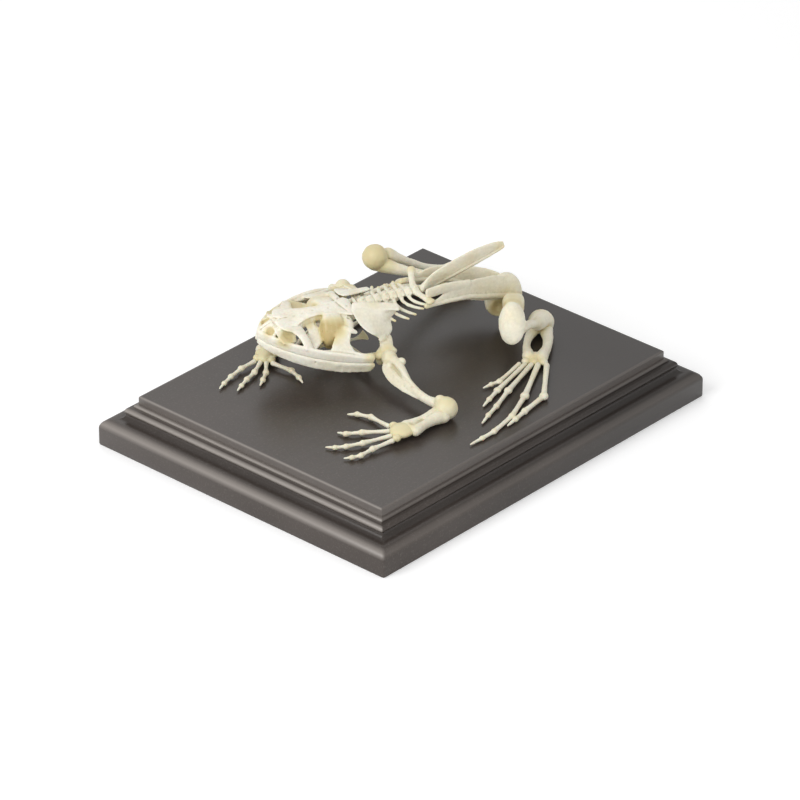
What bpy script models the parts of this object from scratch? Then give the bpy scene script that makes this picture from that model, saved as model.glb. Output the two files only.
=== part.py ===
# A mounted frog skeleton on a moulded plinth: the bones lie crouched, hind legs folded,
# head to -X. Lengths are in millimetres, and heights called h are above the plinth's top.
import math

import bmesh
import bpy
from mathutils import Euler, Matrix, Vector

MM = 0.001
GAP = 0.3

PLINTH_LENGTH = 176.0
PLINTH_DEPTH = 141.0
PLINTH_HEIGHT = 19.5
PLINTH_RIM = 11.1

SKULL_LENGTH = 36.0
SKULL_PLACE = (-6.0, 21.5, 13.6)
SKULL_TURN = (-12.0, -6.0, 154.0)

TRUNK_PLACE = (-3.1, 21.5, 21.5)
TRUNK_TURN = (-12.0, 2.3, 154.5)
VERTEBRA_PITCH = 3.0
PRESACRALS = 8

UROSTYLE_TIP = (51.1, -3.6, 34.9)
DISC_PLACE = (54.0, -1.8, 11.2)
DISC_RADIUS = 7.9
PELVIS_YAW = 158.0
ILIUM_AHEAD = {"left": 1.4, "right": 5.0}

LEAF_SHIFT = {"left": 0.0, "right": 3.2}
LEAF_SIZE = {"left": 1.0, "right": 0.7}
SHOULDER = {"left": (-6.7, 0.8, 9.0), "right": (11.0, 40.0, 17.0)}
ELBOW = {"left": (-14.3, -33.9, 4.9), "right": (-9.0, 54.6, 4.9)}
WRIST = {"left": (-33.8, -32.4, 3.0), "right": (-25.9, 44.0, 3.0)}
HIP = {"left": (54.4, -6.1, 10.6), "right": (56.2, 3.2, 10.6)}
KNEE = {"left": (20.2, -35.1, 25.0), "right": (26.0, 37.6, 24.5)}
HEEL = {"left": (56.9, -17.5, 4.9), "right": (66.5, 30.3, 4.9)}
KNUCKLE_SPREAD = {"left": 10.0, "right": 6.4}
HAND_HEADING = {"left": 140.0, "right": 210.0}
FOOT_START = {"left": (59.4, -15.4, 2.6), "right": (68.6, 29.6, 2.6)}
FOOT_HEADING = {"left": 216.2, "right": 154.0}
TOE_BASE = {"left": 216.2, "right": 173.0}
KNEE_CAP = {"left": (4.3, 5.0, 6.9), "right": (5.0, 5.0, 5.0)}
THIGH_RISE = {"left": 2.6, "right": -2.3}
SHIN_RISE = {"left": -3.6, "right": 2.9}
SHIN_START = {"left": 5.4, "right": 6.8}
SHIN_BOW = {"left": 0.8, "right": -2.2}
SIDES = {"left": 1, "right": -1}

BONE = (0.84, 0.79, 0.66)
BONE_PALE = (0.88, 0.84, 0.73)
CARTILAGE = (0.74, 0.65, 0.43)
LACQUER = (0.055, 0.045, 0.04)


def clearScene():
    for item in list(bpy.data.objects):
        bpy.data.objects.remove(item, do_unlink=True)


def makeCollection(name):
    group = bpy.data.collections.new(name)
    bpy.context.scene.collection.children.link(group)
    return group


def makeMaterial(name, colour, roughness, metallic=0.0):
    made = bpy.data.materials.new(name)
    made.use_nodes = True
    shader = made.node_tree.nodes["Principled BSDF"]
    shader.inputs["Base Color"].default_value = (*colour, 1.0)
    shader.inputs["Roughness"].default_value = roughness
    shader.inputs["Metallic"].default_value = metallic
    return made


def addMesh(name, form):
    form.normal_update()
    mesh = bpy.data.meshes.new(name)
    form.to_mesh(mesh)
    form.free()
    item = bpy.data.objects.new(name, mesh)
    bpy.context.scene.collection.objects.link(item)
    return item


# A loft joins rings of equal count, from the first ring to the last, and closes both ends.
def loft(rings):
    form = bmesh.new()
    rows = [[form.verts.new(Vector(p) * MM) for p in ring] for ring in rings]
    count = len(rows[0])
    for low, high in zip(rows, rows[1:]):
        for i in range(count):
            j = (i + 1) % count
            form.faces.new((low[i], low[j], high[j], high[i]))
    form.faces.new(list(reversed(rows[0])))
    form.faces.new(rows[-1])
    bmesh.ops.recalc_face_normals(form, faces=form.faces)
    return addMesh("loft", form)


def ovalRing(centre, side, up, wide, high, count, square):
    ring = []
    for i in range(count):
        turn = 2.0 * math.pi * (i + 0.5) / count
        x, y = math.cos(turn), math.sin(turn)
        x = math.copysign(abs(x) ** square, x)
        y = math.copysign(abs(y) ** square, y)
        ring.append(centre + side * (wide * x) + up * (high * y))
    return ring


# A blade is a loft of oval sections along a path, with half widths across it and half heights.
def blade(path, wide, high, up=(0.0, 0.0, 1.0), count=8, square=1.0):
    path = [Vector(p) for p in path]
    rings = []
    for i, point in enumerate(path):
        along = (path[min(i + 1, len(path) - 1)] - path[max(i - 1, 0)]).normalized()
        side = along.cross(Vector(up)).normalized()
        lift = side.cross(along).normalized()
        rings.append(ovalRing(point, side, lift, wide[i], high[i], count, square))
    return loft(rings)


# A rod is a poly curve whose points carry their own radii, made a closed mesh.
def rod(path, radii, resolution=2):
    data = bpy.data.curves.new("rod", "CURVE")
    data.dimensions = "3D"
    data.bevel_depth = MM
    data.bevel_resolution = resolution
    data.use_fill_caps = True
    spline = data.splines.new("POLY")
    spline.points.add(len(path) - 1)
    for point, place, radius in zip(spline.points, path, radii):
        point.co = (*(Vector(place) * MM), 1.0)
        point.radius = radius
    curve = bpy.data.objects.new("rod", data)
    bpy.context.scene.collection.objects.link(curve)
    seen = curve.evaluated_get(bpy.context.evaluated_depsgraph_get())
    mesh = bpy.data.meshes.new_from_object(seen)
    item = bpy.data.objects.new("rod", mesh)
    item.matrix_world = curve.matrix_world.copy()
    bpy.context.scene.collection.objects.link(item)
    bpy.data.objects.remove(curve, do_unlink=True)
    form = bmesh.new()
    form.from_mesh(mesh)
    bmesh.ops.remove_doubles(form, verts=form.verts, dist=0.00001)
    bmesh.ops.recalc_face_normals(form, faces=form.faces)
    form.to_mesh(mesh)
    form.free()
    return item


def ball(centre, radius, stretch=(1.0, 1.0, 1.0), turn=(0.0, 0.0, 0.0), rings=6):
    form = bmesh.new()
    place = Matrix.Translation(Vector(centre) * MM)
    place = place @ Euler([math.radians(a) for a in turn]).to_matrix().to_4x4()
    place = place @ Matrix.Diagonal((*stretch, 1.0))
    bmesh.ops.create_uvsphere(form, u_segments=rings + 4, v_segments=rings, radius=radius * MM, matrix=place)
    return addMesh("ball", form)


def largestShell(form):
    left = set(form.faces)
    shells = []
    while left:
        shell = [left.pop()]
        for face in shell:
            for edge in face.edges:
                for other in edge.link_faces:
                    if other in left:
                        left.remove(other)
                        shell.append(other)
        shells.append(shell)
    shells.sort(key=len)
    loose = [face for shell in shells[:-1] for face in shell]
    bmesh.ops.delete(form, geom=loose, context="FACES")


# Joins closed pieces into one node by a Boolean union and keeps its outer surface.
def fuse(name, pieces, material, parent=None):
    body = pieces[0]
    group = bpy.data.collections.new(name + "_pieces")
    if len(pieces) > 1:
        for piece in pieces[1:]:
            group.objects.link(piece)
        join = body.modifiers.new("join", "BOOLEAN")
        join.operation = "UNION"
        join.operand_type = "COLLECTION"
        join.collection = group
        join.solver = "EXACT"
    bpy.context.view_layer.update()
    seen = body.evaluated_get(bpy.context.evaluated_depsgraph_get())
    mesh = bpy.data.meshes.new_from_object(seen)
    form = bmesh.new()
    form.from_mesh(mesh)
    bmesh.ops.remove_doubles(form, verts=form.verts, dist=0.000004)
    bmesh.ops.dissolve_degenerate(form, edges=form.edges, dist=0.000004)
    largestShell(form)
    form.to_mesh(mesh)
    form.free()
    for piece in pieces:
        bpy.data.objects.remove(piece, do_unlink=True)
    bpy.data.collections.remove(group)
    mesh.name = name
    mesh.materials.clear()
    mesh.materials.append(material)
    mesh.shade_smooth()
    mesh.set_sharp_from_angle(angle=math.radians(40.0))
    node = bpy.data.objects.new(name, mesh)
    skeleton.objects.link(node)
    node.parent = parent
    return node


def addEmpty(name, place, turn):
    empty = bpy.data.objects.new(name, None)
    empty.location = Vector(place) * MM
    empty.rotation_euler = [math.radians(a) for a in turn]
    skeleton.objects.link(empty)
    return empty


def heading(degrees):
    return Vector((math.cos(math.radians(degrees)), math.sin(math.radians(degrees)), 0.0))


def turnToward(along):
    return [math.degrees(a) for a in along.to_track_quat("X", "Z").to_euler()]


def between(a, b, part):
    return Vector(a).lerp(Vector(b), part)


# The plinth's moulding, as steps inward from the foot and up: face, nose, cove, beads, arris.
def plinthProfile():
    nose = 3.6
    cove = 2.5
    bead = 1.5
    steps = [(0.4, 0.0), (0.0, 0.4)]
    steps += [(nose * (1 - math.cos(t)), 7.7 + nose * math.sin(t)) for t in quarterTurns(5)]
    foot = (nose, 7.7 + nose + 0.5)
    steps += [(foot[0] + cove * math.sin(t), foot[1] + cove * (1 - math.cos(t))) for t in quarterTurns(4)]
    shelf = (foot[0] + cove, foot[1] + cove + 0.6)
    steps += [(shelf[0] + bead * (1 - math.cos(t)), shelf[1] + bead * math.sin(t)) for t in quarterTurns(4)]
    lip = (shelf[0] + bead + 0.8, shelf[1] + bead)
    small = 0.9
    steps += [(lip[0] + small * (1 - math.cos(t)), lip[1] + small * math.sin(t)) for t in quarterTurns(3)]
    steps += [(PLINTH_RIM - 0.35, lip[1] + small), (PLINTH_RIM - 0.35, PLINTH_HEIGHT - 0.35)]
    steps += [(PLINTH_RIM, PLINTH_HEIGHT)]
    return steps


def quarterTurns(count):
    return [0.5 * math.pi * i / (count - 1) for i in range(count)]


def makePlinth():
    rings = []
    for inset, height in plinthProfile():
        x = PLINTH_LENGTH / 2 - inset
        y = PLINTH_DEPTH / 2 - inset
        rings.append([(x, y, height), (-x, y, height), (-x, -y, height), (x, -y, height)])
    fuse("base_plinth", [loft(rings)], lacquer)


# A point on the skull, given in skull lengths: forward from the neck, left, and up from the jaw line.
def onSkull(forward, left, up):
    return Vector((forward, left, up)) * SKULL_LENGTH


def jawArc(degrees, spread=1.0):
    reach = max(0.0, math.cos(math.radians(degrees)))
    width = math.copysign(0.58 * spread, degrees)
    return onSkull(-0.05 + 1.05 * spread * reach, width * (1.0 - reach ** 1.7) ** 0.7, 0.0)


def upperJaw():
    turns = [-90 + 9 * i for i in range(21)]
    path, wide, high = [], [], []
    for turn in turns:
        bend = abs(turn) / 90.0
        tall = 1.7 - 0.5 * max(0.0, bend - 0.85) / 0.15
        path.append(jawArc(turn, 0.985) + Vector((0.0, 0.0, tall)))
        wide.append(0.85)
        high.append(tall)
    return blade(path, wide, high, count=6, square=0.7)


def braincase():
    stations = [(0.012, 0.07, 0.19, 0.27), (0.04, 0.13, 0.14, 0.29), (0.10, 0.20, 0.10, 0.29),
                (0.18, 0.19, 0.09, 0.285), (0.28, 0.10, 0.085, 0.262), (0.45, 0.09, 0.085, 0.245),
                (0.56, 0.11, 0.08, 0.23), (0.63, 0.17, 0.07, 0.22), (0.72, 0.20, 0.06, 0.2),
                (0.82, 0.16, 0.045, 0.165), (0.90, 0.10, 0.035, 0.125), (0.96, 0.05, 0.03, 0.085)]
    path = [onSkull(x, 0.0, (low + top) / 2) for x, w, low, top in stations]
    wide = [w * SKULL_LENGTH for x, w, low, top in stations]
    high = [(top - low) / 2 * SKULL_LENGTH for x, w, low, top in stations]
    return blade(path, wide, high, count=12, square=0.7)


def roofPlate():
    stations = [(0.03, 0.12, 0.281), (0.09, 0.14, 0.287), (0.16, 0.1, 0.282), (0.3, 0.078, 0.27),
                (0.45, 0.078, 0.253), (0.56, 0.088, 0.238), (0.64, 0.12, 0.223)]
    path = [onSkull(x, 0.0, z) for x, w, z in stations]
    return blade(path, [w * SKULL_LENGTH for x, w, z in stations], [0.55] * 7, count=8, square=0.6)


def cheek(side):
    joint = onSkull(-0.03, side * 0.55, 0.05)
    ear = onSkull(0.10, side * 0.31, 0.225)
    fork = onSkull(0.20, side * 0.43, 0.065)
    pieces = [ball(joint, 2.1, (1.1, 0.8, 1.0))]
    pieces.append(blade([onSkull(0.27, side * 0.35, 0.185), ear, onSkull(0.05, side * 0.32, 0.215)],
                        [0.6, 1.0, 0.6], [0.7, 1.2, 0.6], count=6))
    pieces.append(blade([ear, onSkull(0.16, side * 0.39, 0.14), fork], [1.5, 1.7, 2.4], [0.8, 0.8, 1.2],
                        up=(0.0, 1.0, 0.0), count=6))
    pieces.append(blade([onSkull(0.12, side * 0.12, 0.19), onSkull(0.12, side * 0.22, 0.2), ear],
                        [2.4, 2.2, 1.4], [2.4, 1.9, 0.9], count=8))
    pieces.append(blade([joint, onSkull(0.08, side * 0.50, 0.055), fork, onSkull(0.36, side * 0.46, 0.05),
                         onSkull(0.54, side * 0.44, 0.045)],
                        [0.9, 0.9, 1.5, 1.3, 0.9], [1.7, 1.5, 1.3, 0.8, 0.7]))
    stay = onSkull(0.19, side * 0.29, 0.09)
    pieces.append(rod([fork, stay, onSkull(0.16, side * 0.15, 0.12)], [1.2, 1.0, 1.1]))
    pieces.append(ball(onSkull(0.272, side * 0.2, 0.14), 4.3, (1.0, 1.0, 1.2), rings=8))
    return pieces


def face(side):
    pieces = [blade([onSkull(0.71, side * 0.02, 0.218), onSkull(0.68, side * 0.13, 0.205),
                     onSkull(0.645, side * 0.235, 0.165), onSkull(0.61, side * 0.33, 0.1)],
                    [4.0, 4.1, 3.1, 1.9], [0.7, 0.7, 0.7, 0.9], count=8, square=0.8)]
    pieces.append(blade([onSkull(0.54, side * 0.06, 0.16), onSkull(0.53, side * 0.2, 0.12),
                         onSkull(0.545, side * 0.32, 0.08), onSkull(0.57, side * 0.4, 0.055)],
                        [2.9, 3.0, 2.3, 1.3], [0.6, 0.55, 0.6, 0.7], count=8))
    pieces.append(blade([onSkull(0.74, side * 0.05, 0.055), onSkull(0.73, side * 0.18, 0.048),
                         onSkull(0.74, side * 0.27, 0.045)], [2.4, 2.2, 1.2], [0.6, 0.6, 0.6], count=6))
    pieces.append(blade([onSkull(0.98, side * 0.06, 0.04), onSkull(0.95, side * 0.06, 0.11),
                         onSkull(0.88, side * 0.07, 0.175)],
                        [0.9, 0.9, 0.7], [0.9, 0.8, 0.6], up=(1.0, 0.0, 0.3), count=6))
    pieces.append(blade([onSkull(0.82, side * 0.23, 0.07), onSkull(0.79, side * 0.18, 0.13),
                         onSkull(0.75, side * 0.12, 0.17)], [1.3, 1.3, 1.2], [0.8, 0.8, 0.8], count=6))
    pieces.append(ball(onSkull(0.005, side * 0.065, 0.205), 1.2, (1.2, 1.0, 0.9)))
    return pieces


def makeSkull():
    pieces = [braincase(), upperJaw(), roofPlate()]
    pieces.append(blade([onSkull(0.1, -0.25, 0.09), onSkull(0.09, -0.12, 0.085), onSkull(0.09, 0.12, 0.085),
                         onSkull(0.1, 0.25, 0.09)], [1.2, 1.9, 1.9, 1.2], [0.5, 0.6, 0.6, 0.5], count=6))
    for side in SIDES.values():
        pieces += cheek(side) + face(side)
    fuse("skull", pieces, bonePale, head)


def makeMandibles():
    for name, side in SIDES.items():
        turns = [4.0 + 86.0 * (i / 11) ** 1.15 for i in range(12)]
        path, wide, high = [], [], []
        for turn in turns:
            bend = turn / 90.0
            tall = 1.15 + 1.05 * math.sin(math.pi * min(1.0, bend * 0.78)) ** 1.3
            point = jawArc(side * turn, 0.985)
            path.append(point - Vector((0.0, 0.0, GAP + tall)))
            wide.append(0.75 + 0.25 * bend)
            high.append(tall)
        pieces = [blade(path, wide, high, count=8)]
        fuse("mandible_" + name, pieces, bonePale, head)


# The side processes from the second vertebra to the eighth: half span, sweep toward the head and
# drop of the tip. The left ones sweep further back.
def processes():
    return {"left": [(7.2, 0.8, 1.4), (7.8, -0.8, 2.2), (7.4, -1.6, 2.8), (9.2, -3.8, 3.8), (9.3, -3.2, 3.4),
                     (9.3, -3.2, 3.0), (9.2, -3.0, 0.8)],
            "right": [(7.2, 0.8, 1.4), (8.2, -0.4, 2.6), (9.6, -2.1, 1.6), (9.4, -1.6, 2.4), (9.3, -1.0, 1.8),
                      (9.3, -1.3, 1.4), (8.6, 0.3, 1.7)]}


def vertebraPieces(number):
    x = -VERTEBRA_PITCH * number
    half = (VERTEBRA_PITCH - GAP) / 2
    pieces = [rod([(x + half, 0, 0), (x + half * 0.2, 0, 0), (x - half, 0, 0)], [1.45, 1.15, 1.45])]
    arch = [(x + half, 0, 1.25), (x, 0, 1.5), (x - half, 0, 1.35)]
    pieces.append(blade(arch, [2.1, 1.7, 2.1], [0.85, 1.0, 0.8]))
    spine = [(x + half * 0.7, 0, 2.0), (x - half * 0.2, 0, 2.45), (x - half * 0.95, 0, 2.5)]
    pieces.append(blade(spine, [0.35, 0.4, 0.3], [0.4, 0.55, 0.35], count=6))
    return pieces


def makeVertebrae():
    atlas = blade([(-0.5, -2.9, 0.8), (-0.5, 2.9, 0.8)], [0.8, 0.8], [1.3, 1.3])
    body = rod([(0.3, 0, 0), (-1.35, 0, 0)], [1.3, 1.45])
    fuse("vertebra_1", [body, atlas], bone, trunk)
    for number in range(1, PRESACRALS):
        pieces = vertebraPieces(number)
        x = -VERTEBRA_PITCH * number
        for name, side in SIDES.items():
            span, sweep, drop = processes()[name][number - 1]
            root = (x, side * 1.2, 0.6)
            bend = (x - 0.3 * sweep, side * span * 0.5, 0.5 - 0.2 * drop)
            near = (x + 0.2 * sweep, side * span * 0.78, 0.1 - 0.6 * drop)
            tip = (x + sweep, side * span, -drop)
            pieces.append(rod([root, bend, near, tip], [0.8, 0.6, 0.6, 0.5], resolution=1))
        fuse("vertebra_%d" % (number + 1), pieces, bone, trunk)


def inTrunk(place):
    return trunk.matrix_world.inverted() @ (place * MM) / MM


def sacrumX():
    return -VERTEBRA_PITCH * PRESACRALS


def sacralTip(side):
    return Vector((sacrumX() - 2.6, side * 9.6, 2.2))


def makeSacrum():
    x = sacrumX()
    pieces = vertebraPieces(PRESACRALS)
    for side in SIDES.values():
        path = [Vector((x, side * 1.2, 0.9)), Vector((x - 1.2, side * 5.5, 1.8)), sacralTip(side)]
        pieces.append(rod(path, [1.25, 1.0, 1.5 - 0.2 * side]))
    fuse("sacrum", pieces, bone, trunk)


def makeUrostyle():
    start = Vector((sacrumX() - VERTEBRA_PITCH / 2 - GAP - 0.7, 0.0, 0.7))
    tip = inTrunk(onPlinth(UROSTYLE_TIP))
    stations = [(0.0, 1.7, 1.6), (0.07, 1.3, 2.5), (0.2, 0.95, 3.6), (0.45, 0.9, 3.7), (0.75, 0.9, 3.1),
                (0.94, 1.0, 2.3), (1.0, 0.6, 1.3)]
    path = [start.lerp(tip, s) + Vector((0.0, 0.0, max(0.0, h - 2.4) * 0.6)) for s, w, h in stations]
    fuse("urostyle", [blade(path, [w for s, w, h in stations], [h for s, w, h in stations])], bone, trunk)


# The shoulder plates lie in the trunk's frame: a broad leaf over the ribs, then a neck to the joint.
def makeShoulders():
    for name, side in SIDES.items():
        ahead, size = LEAF_SHIFT[name], LEAF_SIZE[name]
        joint = inTrunk(onPlinth(SHOULDER[name]))
        neck = Vector((ahead * 0.3 - 6.9, side * 14.9, -6.6))
        leaf = [Vector((ahead - 5.4, side * 4.9, 3.3)), Vector((ahead - 4.8, side * 8.2, 1.7)),
                Vector((ahead - 4.9, side * 11.6, -1.7)), Vector((ahead * 0.6 - 6.6, side * 13.7, -4.2))]
        wide = [7.3 * size, 8.0 * size, 7.5 * size, 4.5]
        tilt = (-0.16, 0.0, 1.0)
        pieces = [blade(leaf, wide, [0.45, 0.45, 0.5, 0.6], up=tilt, count=10, square=0.7)]
        fuse("suprascapula_" + name, pieces, bonePale, trunk)
        start = leaf[-1].lerp(neck, 0.3)
        end = joint - (joint - neck).normalized() * 3.5
        path = [start, neck, start.lerp(end, 0.7), end]
        fuse("scapula_" + name, [blade(path, [3.3, 2.3, 2.4, 3.3], [0.8, 0.9, 1.2, 1.6])], bone, trunk)
        breast = Vector((-6.5, side * 1.6, -13.0))
        low = end.lerp(breast, 0.14) + Vector((0.4, 0.0, -1.6))
        clavicle = [low, low.lerp(breast, 0.5) + Vector((1.5, 0, -0.6)), breast]
        bar = [low, low.lerp(breast, 0.5) + Vector((-2.6, 0, -0.8)), breast + Vector((-3.4, 0, 0))]
        pieces = [blade(clavicle, [1.4, 0.8, 1.5], [0.95, 0.7, 0.75])]
        pieces.append(blade(bar, [1.3, 1.0, 1.8], [0.9, 0.7, 0.7]))
        edge = [breast + Vector((1.4, 0, 0)), breast + Vector((-4.8, 0, 0))]
        pieces.append(blade(edge, [0.9, 0.9], [0.7, 0.7]))
        fuse("coracoid_" + name, pieces, bone, trunk)


def makeSternum():
    path = [(-3.4, 0, -13.0), (3.2, 0, -12.4), (6.4, 0, -11.6)]
    fuse("omosternum", [blade(path, [0.5, 0.8, 2.2], [0.5, 0.5, 0.4])], bone, trunk)
    path = [(-12.6, 0, -13.2), (-17.6, 0, -12.8), (-21.6, 0, -12.2)]
    fuse("sternum", [blade(path, [0.9, 0.9, 3.6], [0.5, 0.5, 0.4])], bone, trunk)


def onPlinth(place):
    return Vector((place[0], place[1], place[2] + PLINTH_HEIGHT))


def makeHumerus(name, side):
    top, low = onPlinth(SHOULDER[name]), onPlinth(ELBOW[name])
    along = (low - top).normalized()
    bow = along.cross(Vector((0.0, 0.0, 1.0))).normalized() * side
    bow = (bow + Vector((0.0, 0.0, -0.5))).normalized()
    shaft = [between(top, low, part) + bow * reach
             for part, reach in ((0.0, 0.0), (0.14, 0.2), (0.3, 1.6), (0.5, 2.5), (0.7, 2.3), (0.87, 1.0),
                                 (0.97, 0.2))]
    pieces = [rod(shaft, [2.6, 2.4, 1.9, 1.75, 1.7, 1.9, 2.8])]
    crest = [between(top, low, part) + bow * reach
             for part, reach in ((0.04, 1.6), (0.2, 3.4), (0.4, 4.2), (0.64, 3.7))]
    pieces.append(blade(crest, [0.8, 0.85, 0.8, 0.6], [2.4, 2.7, 2.2, 0.9], up=bow, count=8))
    pieces.append(ball(top, 3.0, rings=7))
    pieces.append(ball(between(top, low, 0.15) - bow * 2.2, 1.5))
    pieces.append(ball(low, 4.6, (1.0, 1.0, 0.98), rings=7))
    fuse("humerus_" + name, pieces, bone)


def makeRadioulna(name):
    elbow, wrist = onPlinth(ELBOW[name]), onPlinth(WRIST[name])
    elbow.z = wrist.z
    along = (wrist - elbow).normalized()
    across = along.cross(Vector((0, 0, 1)))
    turn = turnToward(along)
    start = elbow + along * 7.0
    end = wrist - along * 3.2
    pieces = []
    for lean in (1, -1):
        path = [start + across * lean * 1.8, between(start, end, 0.35) + across * lean * 1.5,
                between(start, end, 0.7) + across * lean * 1.9, end + across * lean * 2.5]
        pieces.append(rod(path, [2.3, 2.0, 1.9, 2.0]))
    pieces.append(ball(start + along * 0.6, 2.6, (1.0, 1.5, 1.0), turn, rings=7))
    pieces.append(ball(end, 1.9, (0.8, 1.8, 1.0), turn))
    fuse("radioulna_" + name, pieces, bone)


# A digit is a chain of bones, each waisted between two knuckles, that drops to the plinth at its tip.
def digitChain(start, turns, lengths, radius):
    path, radii = [], []
    point = Vector(start)
    height = point.z
    total = sum(lengths)
    done = 0.0
    for number, (turn, length) in enumerate(zip(turns, lengths)):
        thick = radius * (1.0 - 0.12 * number)
        last = number == len(lengths) - 1
        for part, waist in ((0.0, 1.0), (0.28, 0.64), (0.72, 0.6), (0.93, 0.5 if last else 0.95)):
            place = point + heading(turn) * (length * part)
            rest = PLINTH_HEIGHT + GAP + thick * (1.0 - 0.5 * part * last)
            fall = min(1.0, 1.3 * (done + length * part) / total)
            place.z = max(rest, height + (rest - height) * fall)
            path.append(place)
            radii.append(thick * waist)
        point = point + heading(turn) * length
        done += length
    tip = point.copy()
    tip.z = PLINTH_HEIGHT + GAP + radius * 0.35
    path.append(tip)
    radii.append(radius * 0.28)
    return rod(path, radii, resolution=1)


def makeHand(name, side):
    wrist = onPlinth(WRIST[name])
    facing = HAND_HEADING[name]
    along, across = heading(facing), heading(facing + 90 * side)
    pieces = []
    for row, (reach, width, count) in enumerate(((1.7, 5.4, 3), (3.9, KNUCKLE_SPREAD[name] - 0.8, 4))):
        for i in range(count):
            shift = width * (i / (count - 1) - 0.5)
            spot = wrist + along * reach + across * shift + Vector((0, 0, -0.35 * row))
            pieces.append(ball(spot, 1.6, (1.0, 1.0, 0.85), rings=4))
    fuse("carpus_" + name, pieces, cartilage)
    knuckles = {"left": ((-57, -36, -18), (-7, -4, -37), (16, 9, -3, -19), (29, 36, 11, -6)),
                "right": ((68, 44, 36), (12, 0, -4), (-4, -18, -12, -12), (-32, -22, -16, -12))}[name]
    lengths = {"left": ((10.2, 5.6, 3.9), (10.3, 5.8, 3.7), (11.3, 6.3, 4.0, 3.8), (9.2, 5.7, 3.4, 3.1)),
               "right": ((8.8, 5.2, 3.7), (7.0, 4.8, 3.7), (7.6, 5.4, 4.6, 3.6), (7.2, 6.4, 5.0, 4.1))}[name]
    for number, (bends, bones) in enumerate(zip(knuckles, lengths)):
        shift = KNUCKLE_SPREAD[name] * (number / 3 - 0.5)
        start = wrist + along * 5.8 + across * shift + Vector((0, 0, -1.1))
        turns = [facing + bend for bend in bends]
        chain = digitChain(start, turns, bones, 1.0)
        fuse("finger_%d_%s" % (number + 1, name), [chain], bone)


def makePelvis():
    centre = onPlinth(DISC_PLACE)
    forward = heading(PELVIS_YAW)
    left = heading(PELVIS_YAW + 90)
    rim = []
    for i in range(20):
        turn = 2 * math.pi * i / 20
        reach = DISC_RADIUS * (1.0 + 0.1 * math.cos(turn - math.radians(300)))
        rim.append((math.cos(turn) * reach, math.sin(turn) * reach * (1.22 if turn < math.pi else 1.0)))
    rings = []
    for shift, scale in ((-1.5, 0.72), (-0.9, 0.95), (0.0, 1.0), (0.9, 0.95), (1.5, 0.72)):
        middle = centre + left * shift
        rings.append([middle + forward * x * scale + Vector((0, 0, y * scale)) for x, y in rim])
    fuse("ischium_pubis", [loft(rings)], cartilage)
    for name, side in SIDES.items():
        hold = trunk.matrix_world @ ((sacralTip(side) + Vector((0.0, -1.6 * side, -2.6))) * MM) / MM
        front = hold + forward * ILIUM_AHEAD[name]
        hip = centre + left * side * 2.7 + forward * 5.4 + Vector((0, 0, 4.6))
        parts = (0.0, 0.15, 0.35, 0.6, 0.8, 0.93, 1.0)
        bow = left * side * 1.3 + Vector((0.0, 0.0, 2.0))
        lift = (0.0, 0.0, 1.0, 1.5, 1.3, 1.5, 1.5)
        path = [between(front, hip, part) + bow * math.sin(math.pi * part) + Vector((0, 0, rise))
                for part, rise in zip(parts, lift)]
        high = [0.7, 1.1, 3.1, 4.2, 4.9, 5.3, 5.1]
        pieces = [blade(path, [0.55, 0.6, 0.6, 0.65, 0.8, 1.0, 1.0], high, count=8)]
        shaft = [point - Vector((0, 0, tall * 0.6)) for point, tall in zip(path, high)]
        pieces.append(rod(shaft, [0.7, 0.95, 1.0, 1.05, 1.1, 1.3, 1.2]))
        fuse("ilium_" + name, pieces, bone)


# The femur ends in the knee's smooth cap, which the shin bone meets from behind.
def makeFemur(name):
    hip, knee = onPlinth(HIP[name]), onPlinth(KNEE[name])
    along = (knee - hip).normalized()
    start = hip + along * 1.2
    sway = along.cross(Vector((0, 0, 1))).normalized()
    parts = (0.0, 0.08, 0.25, 0.5, 0.75, 0.92, 1.0)
    top = knee + Vector((0.0, 0.0, THIGH_RISE[name]))
    path = [between(start, top, part) + sway * 1.2 * math.sin(2 * math.pi * part) for part in parts]
    pieces = [rod(path, [2.5, 2.0, 1.8, 1.8, 2.0, 2.8, 3.3])]
    pieces.append(ball(start, 3.2, (0.9, 1.25, 1.0), turnToward(along)))
    pieces.append(ball(knee, 1.0, KNEE_CAP[name], turnToward(along), rings=9))
    fuse("femur_" + name, pieces, bone)


def makeTibiofibula(name):
    knee, heel = onPlinth(KNEE[name]), onPlinth(HEEL[name])
    top = knee + Vector((0.0, 0.0, SHIN_RISE[name]))
    along = (heel - top).normalized()
    start = top + along * SHIN_START[name]
    end = heel - along * 1.5
    parts = (0.0, 0.08, 0.22, 0.5, 0.78, 0.93, 1.0)
    bow = SHIN_BOW[name]
    path = [between(start, end, part) + Vector((0, 0, bow * math.sin(math.pi * part))) for part in parts]
    flare = [2.8, 2.8, 2.3, 1.9, 2.4, 3.4, 3.8]
    pieces = [blade(path, flare, [2.4, 2.3, 1.9, 1.6, 1.7, 2.4, 3.0], count=10)]
    pieces.append(ball(heel, 4.1, (0.85, 1.15, 1.0), turnToward(along), rings=8))
    fuse("tibiofibula_" + name, pieces, bone)


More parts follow.
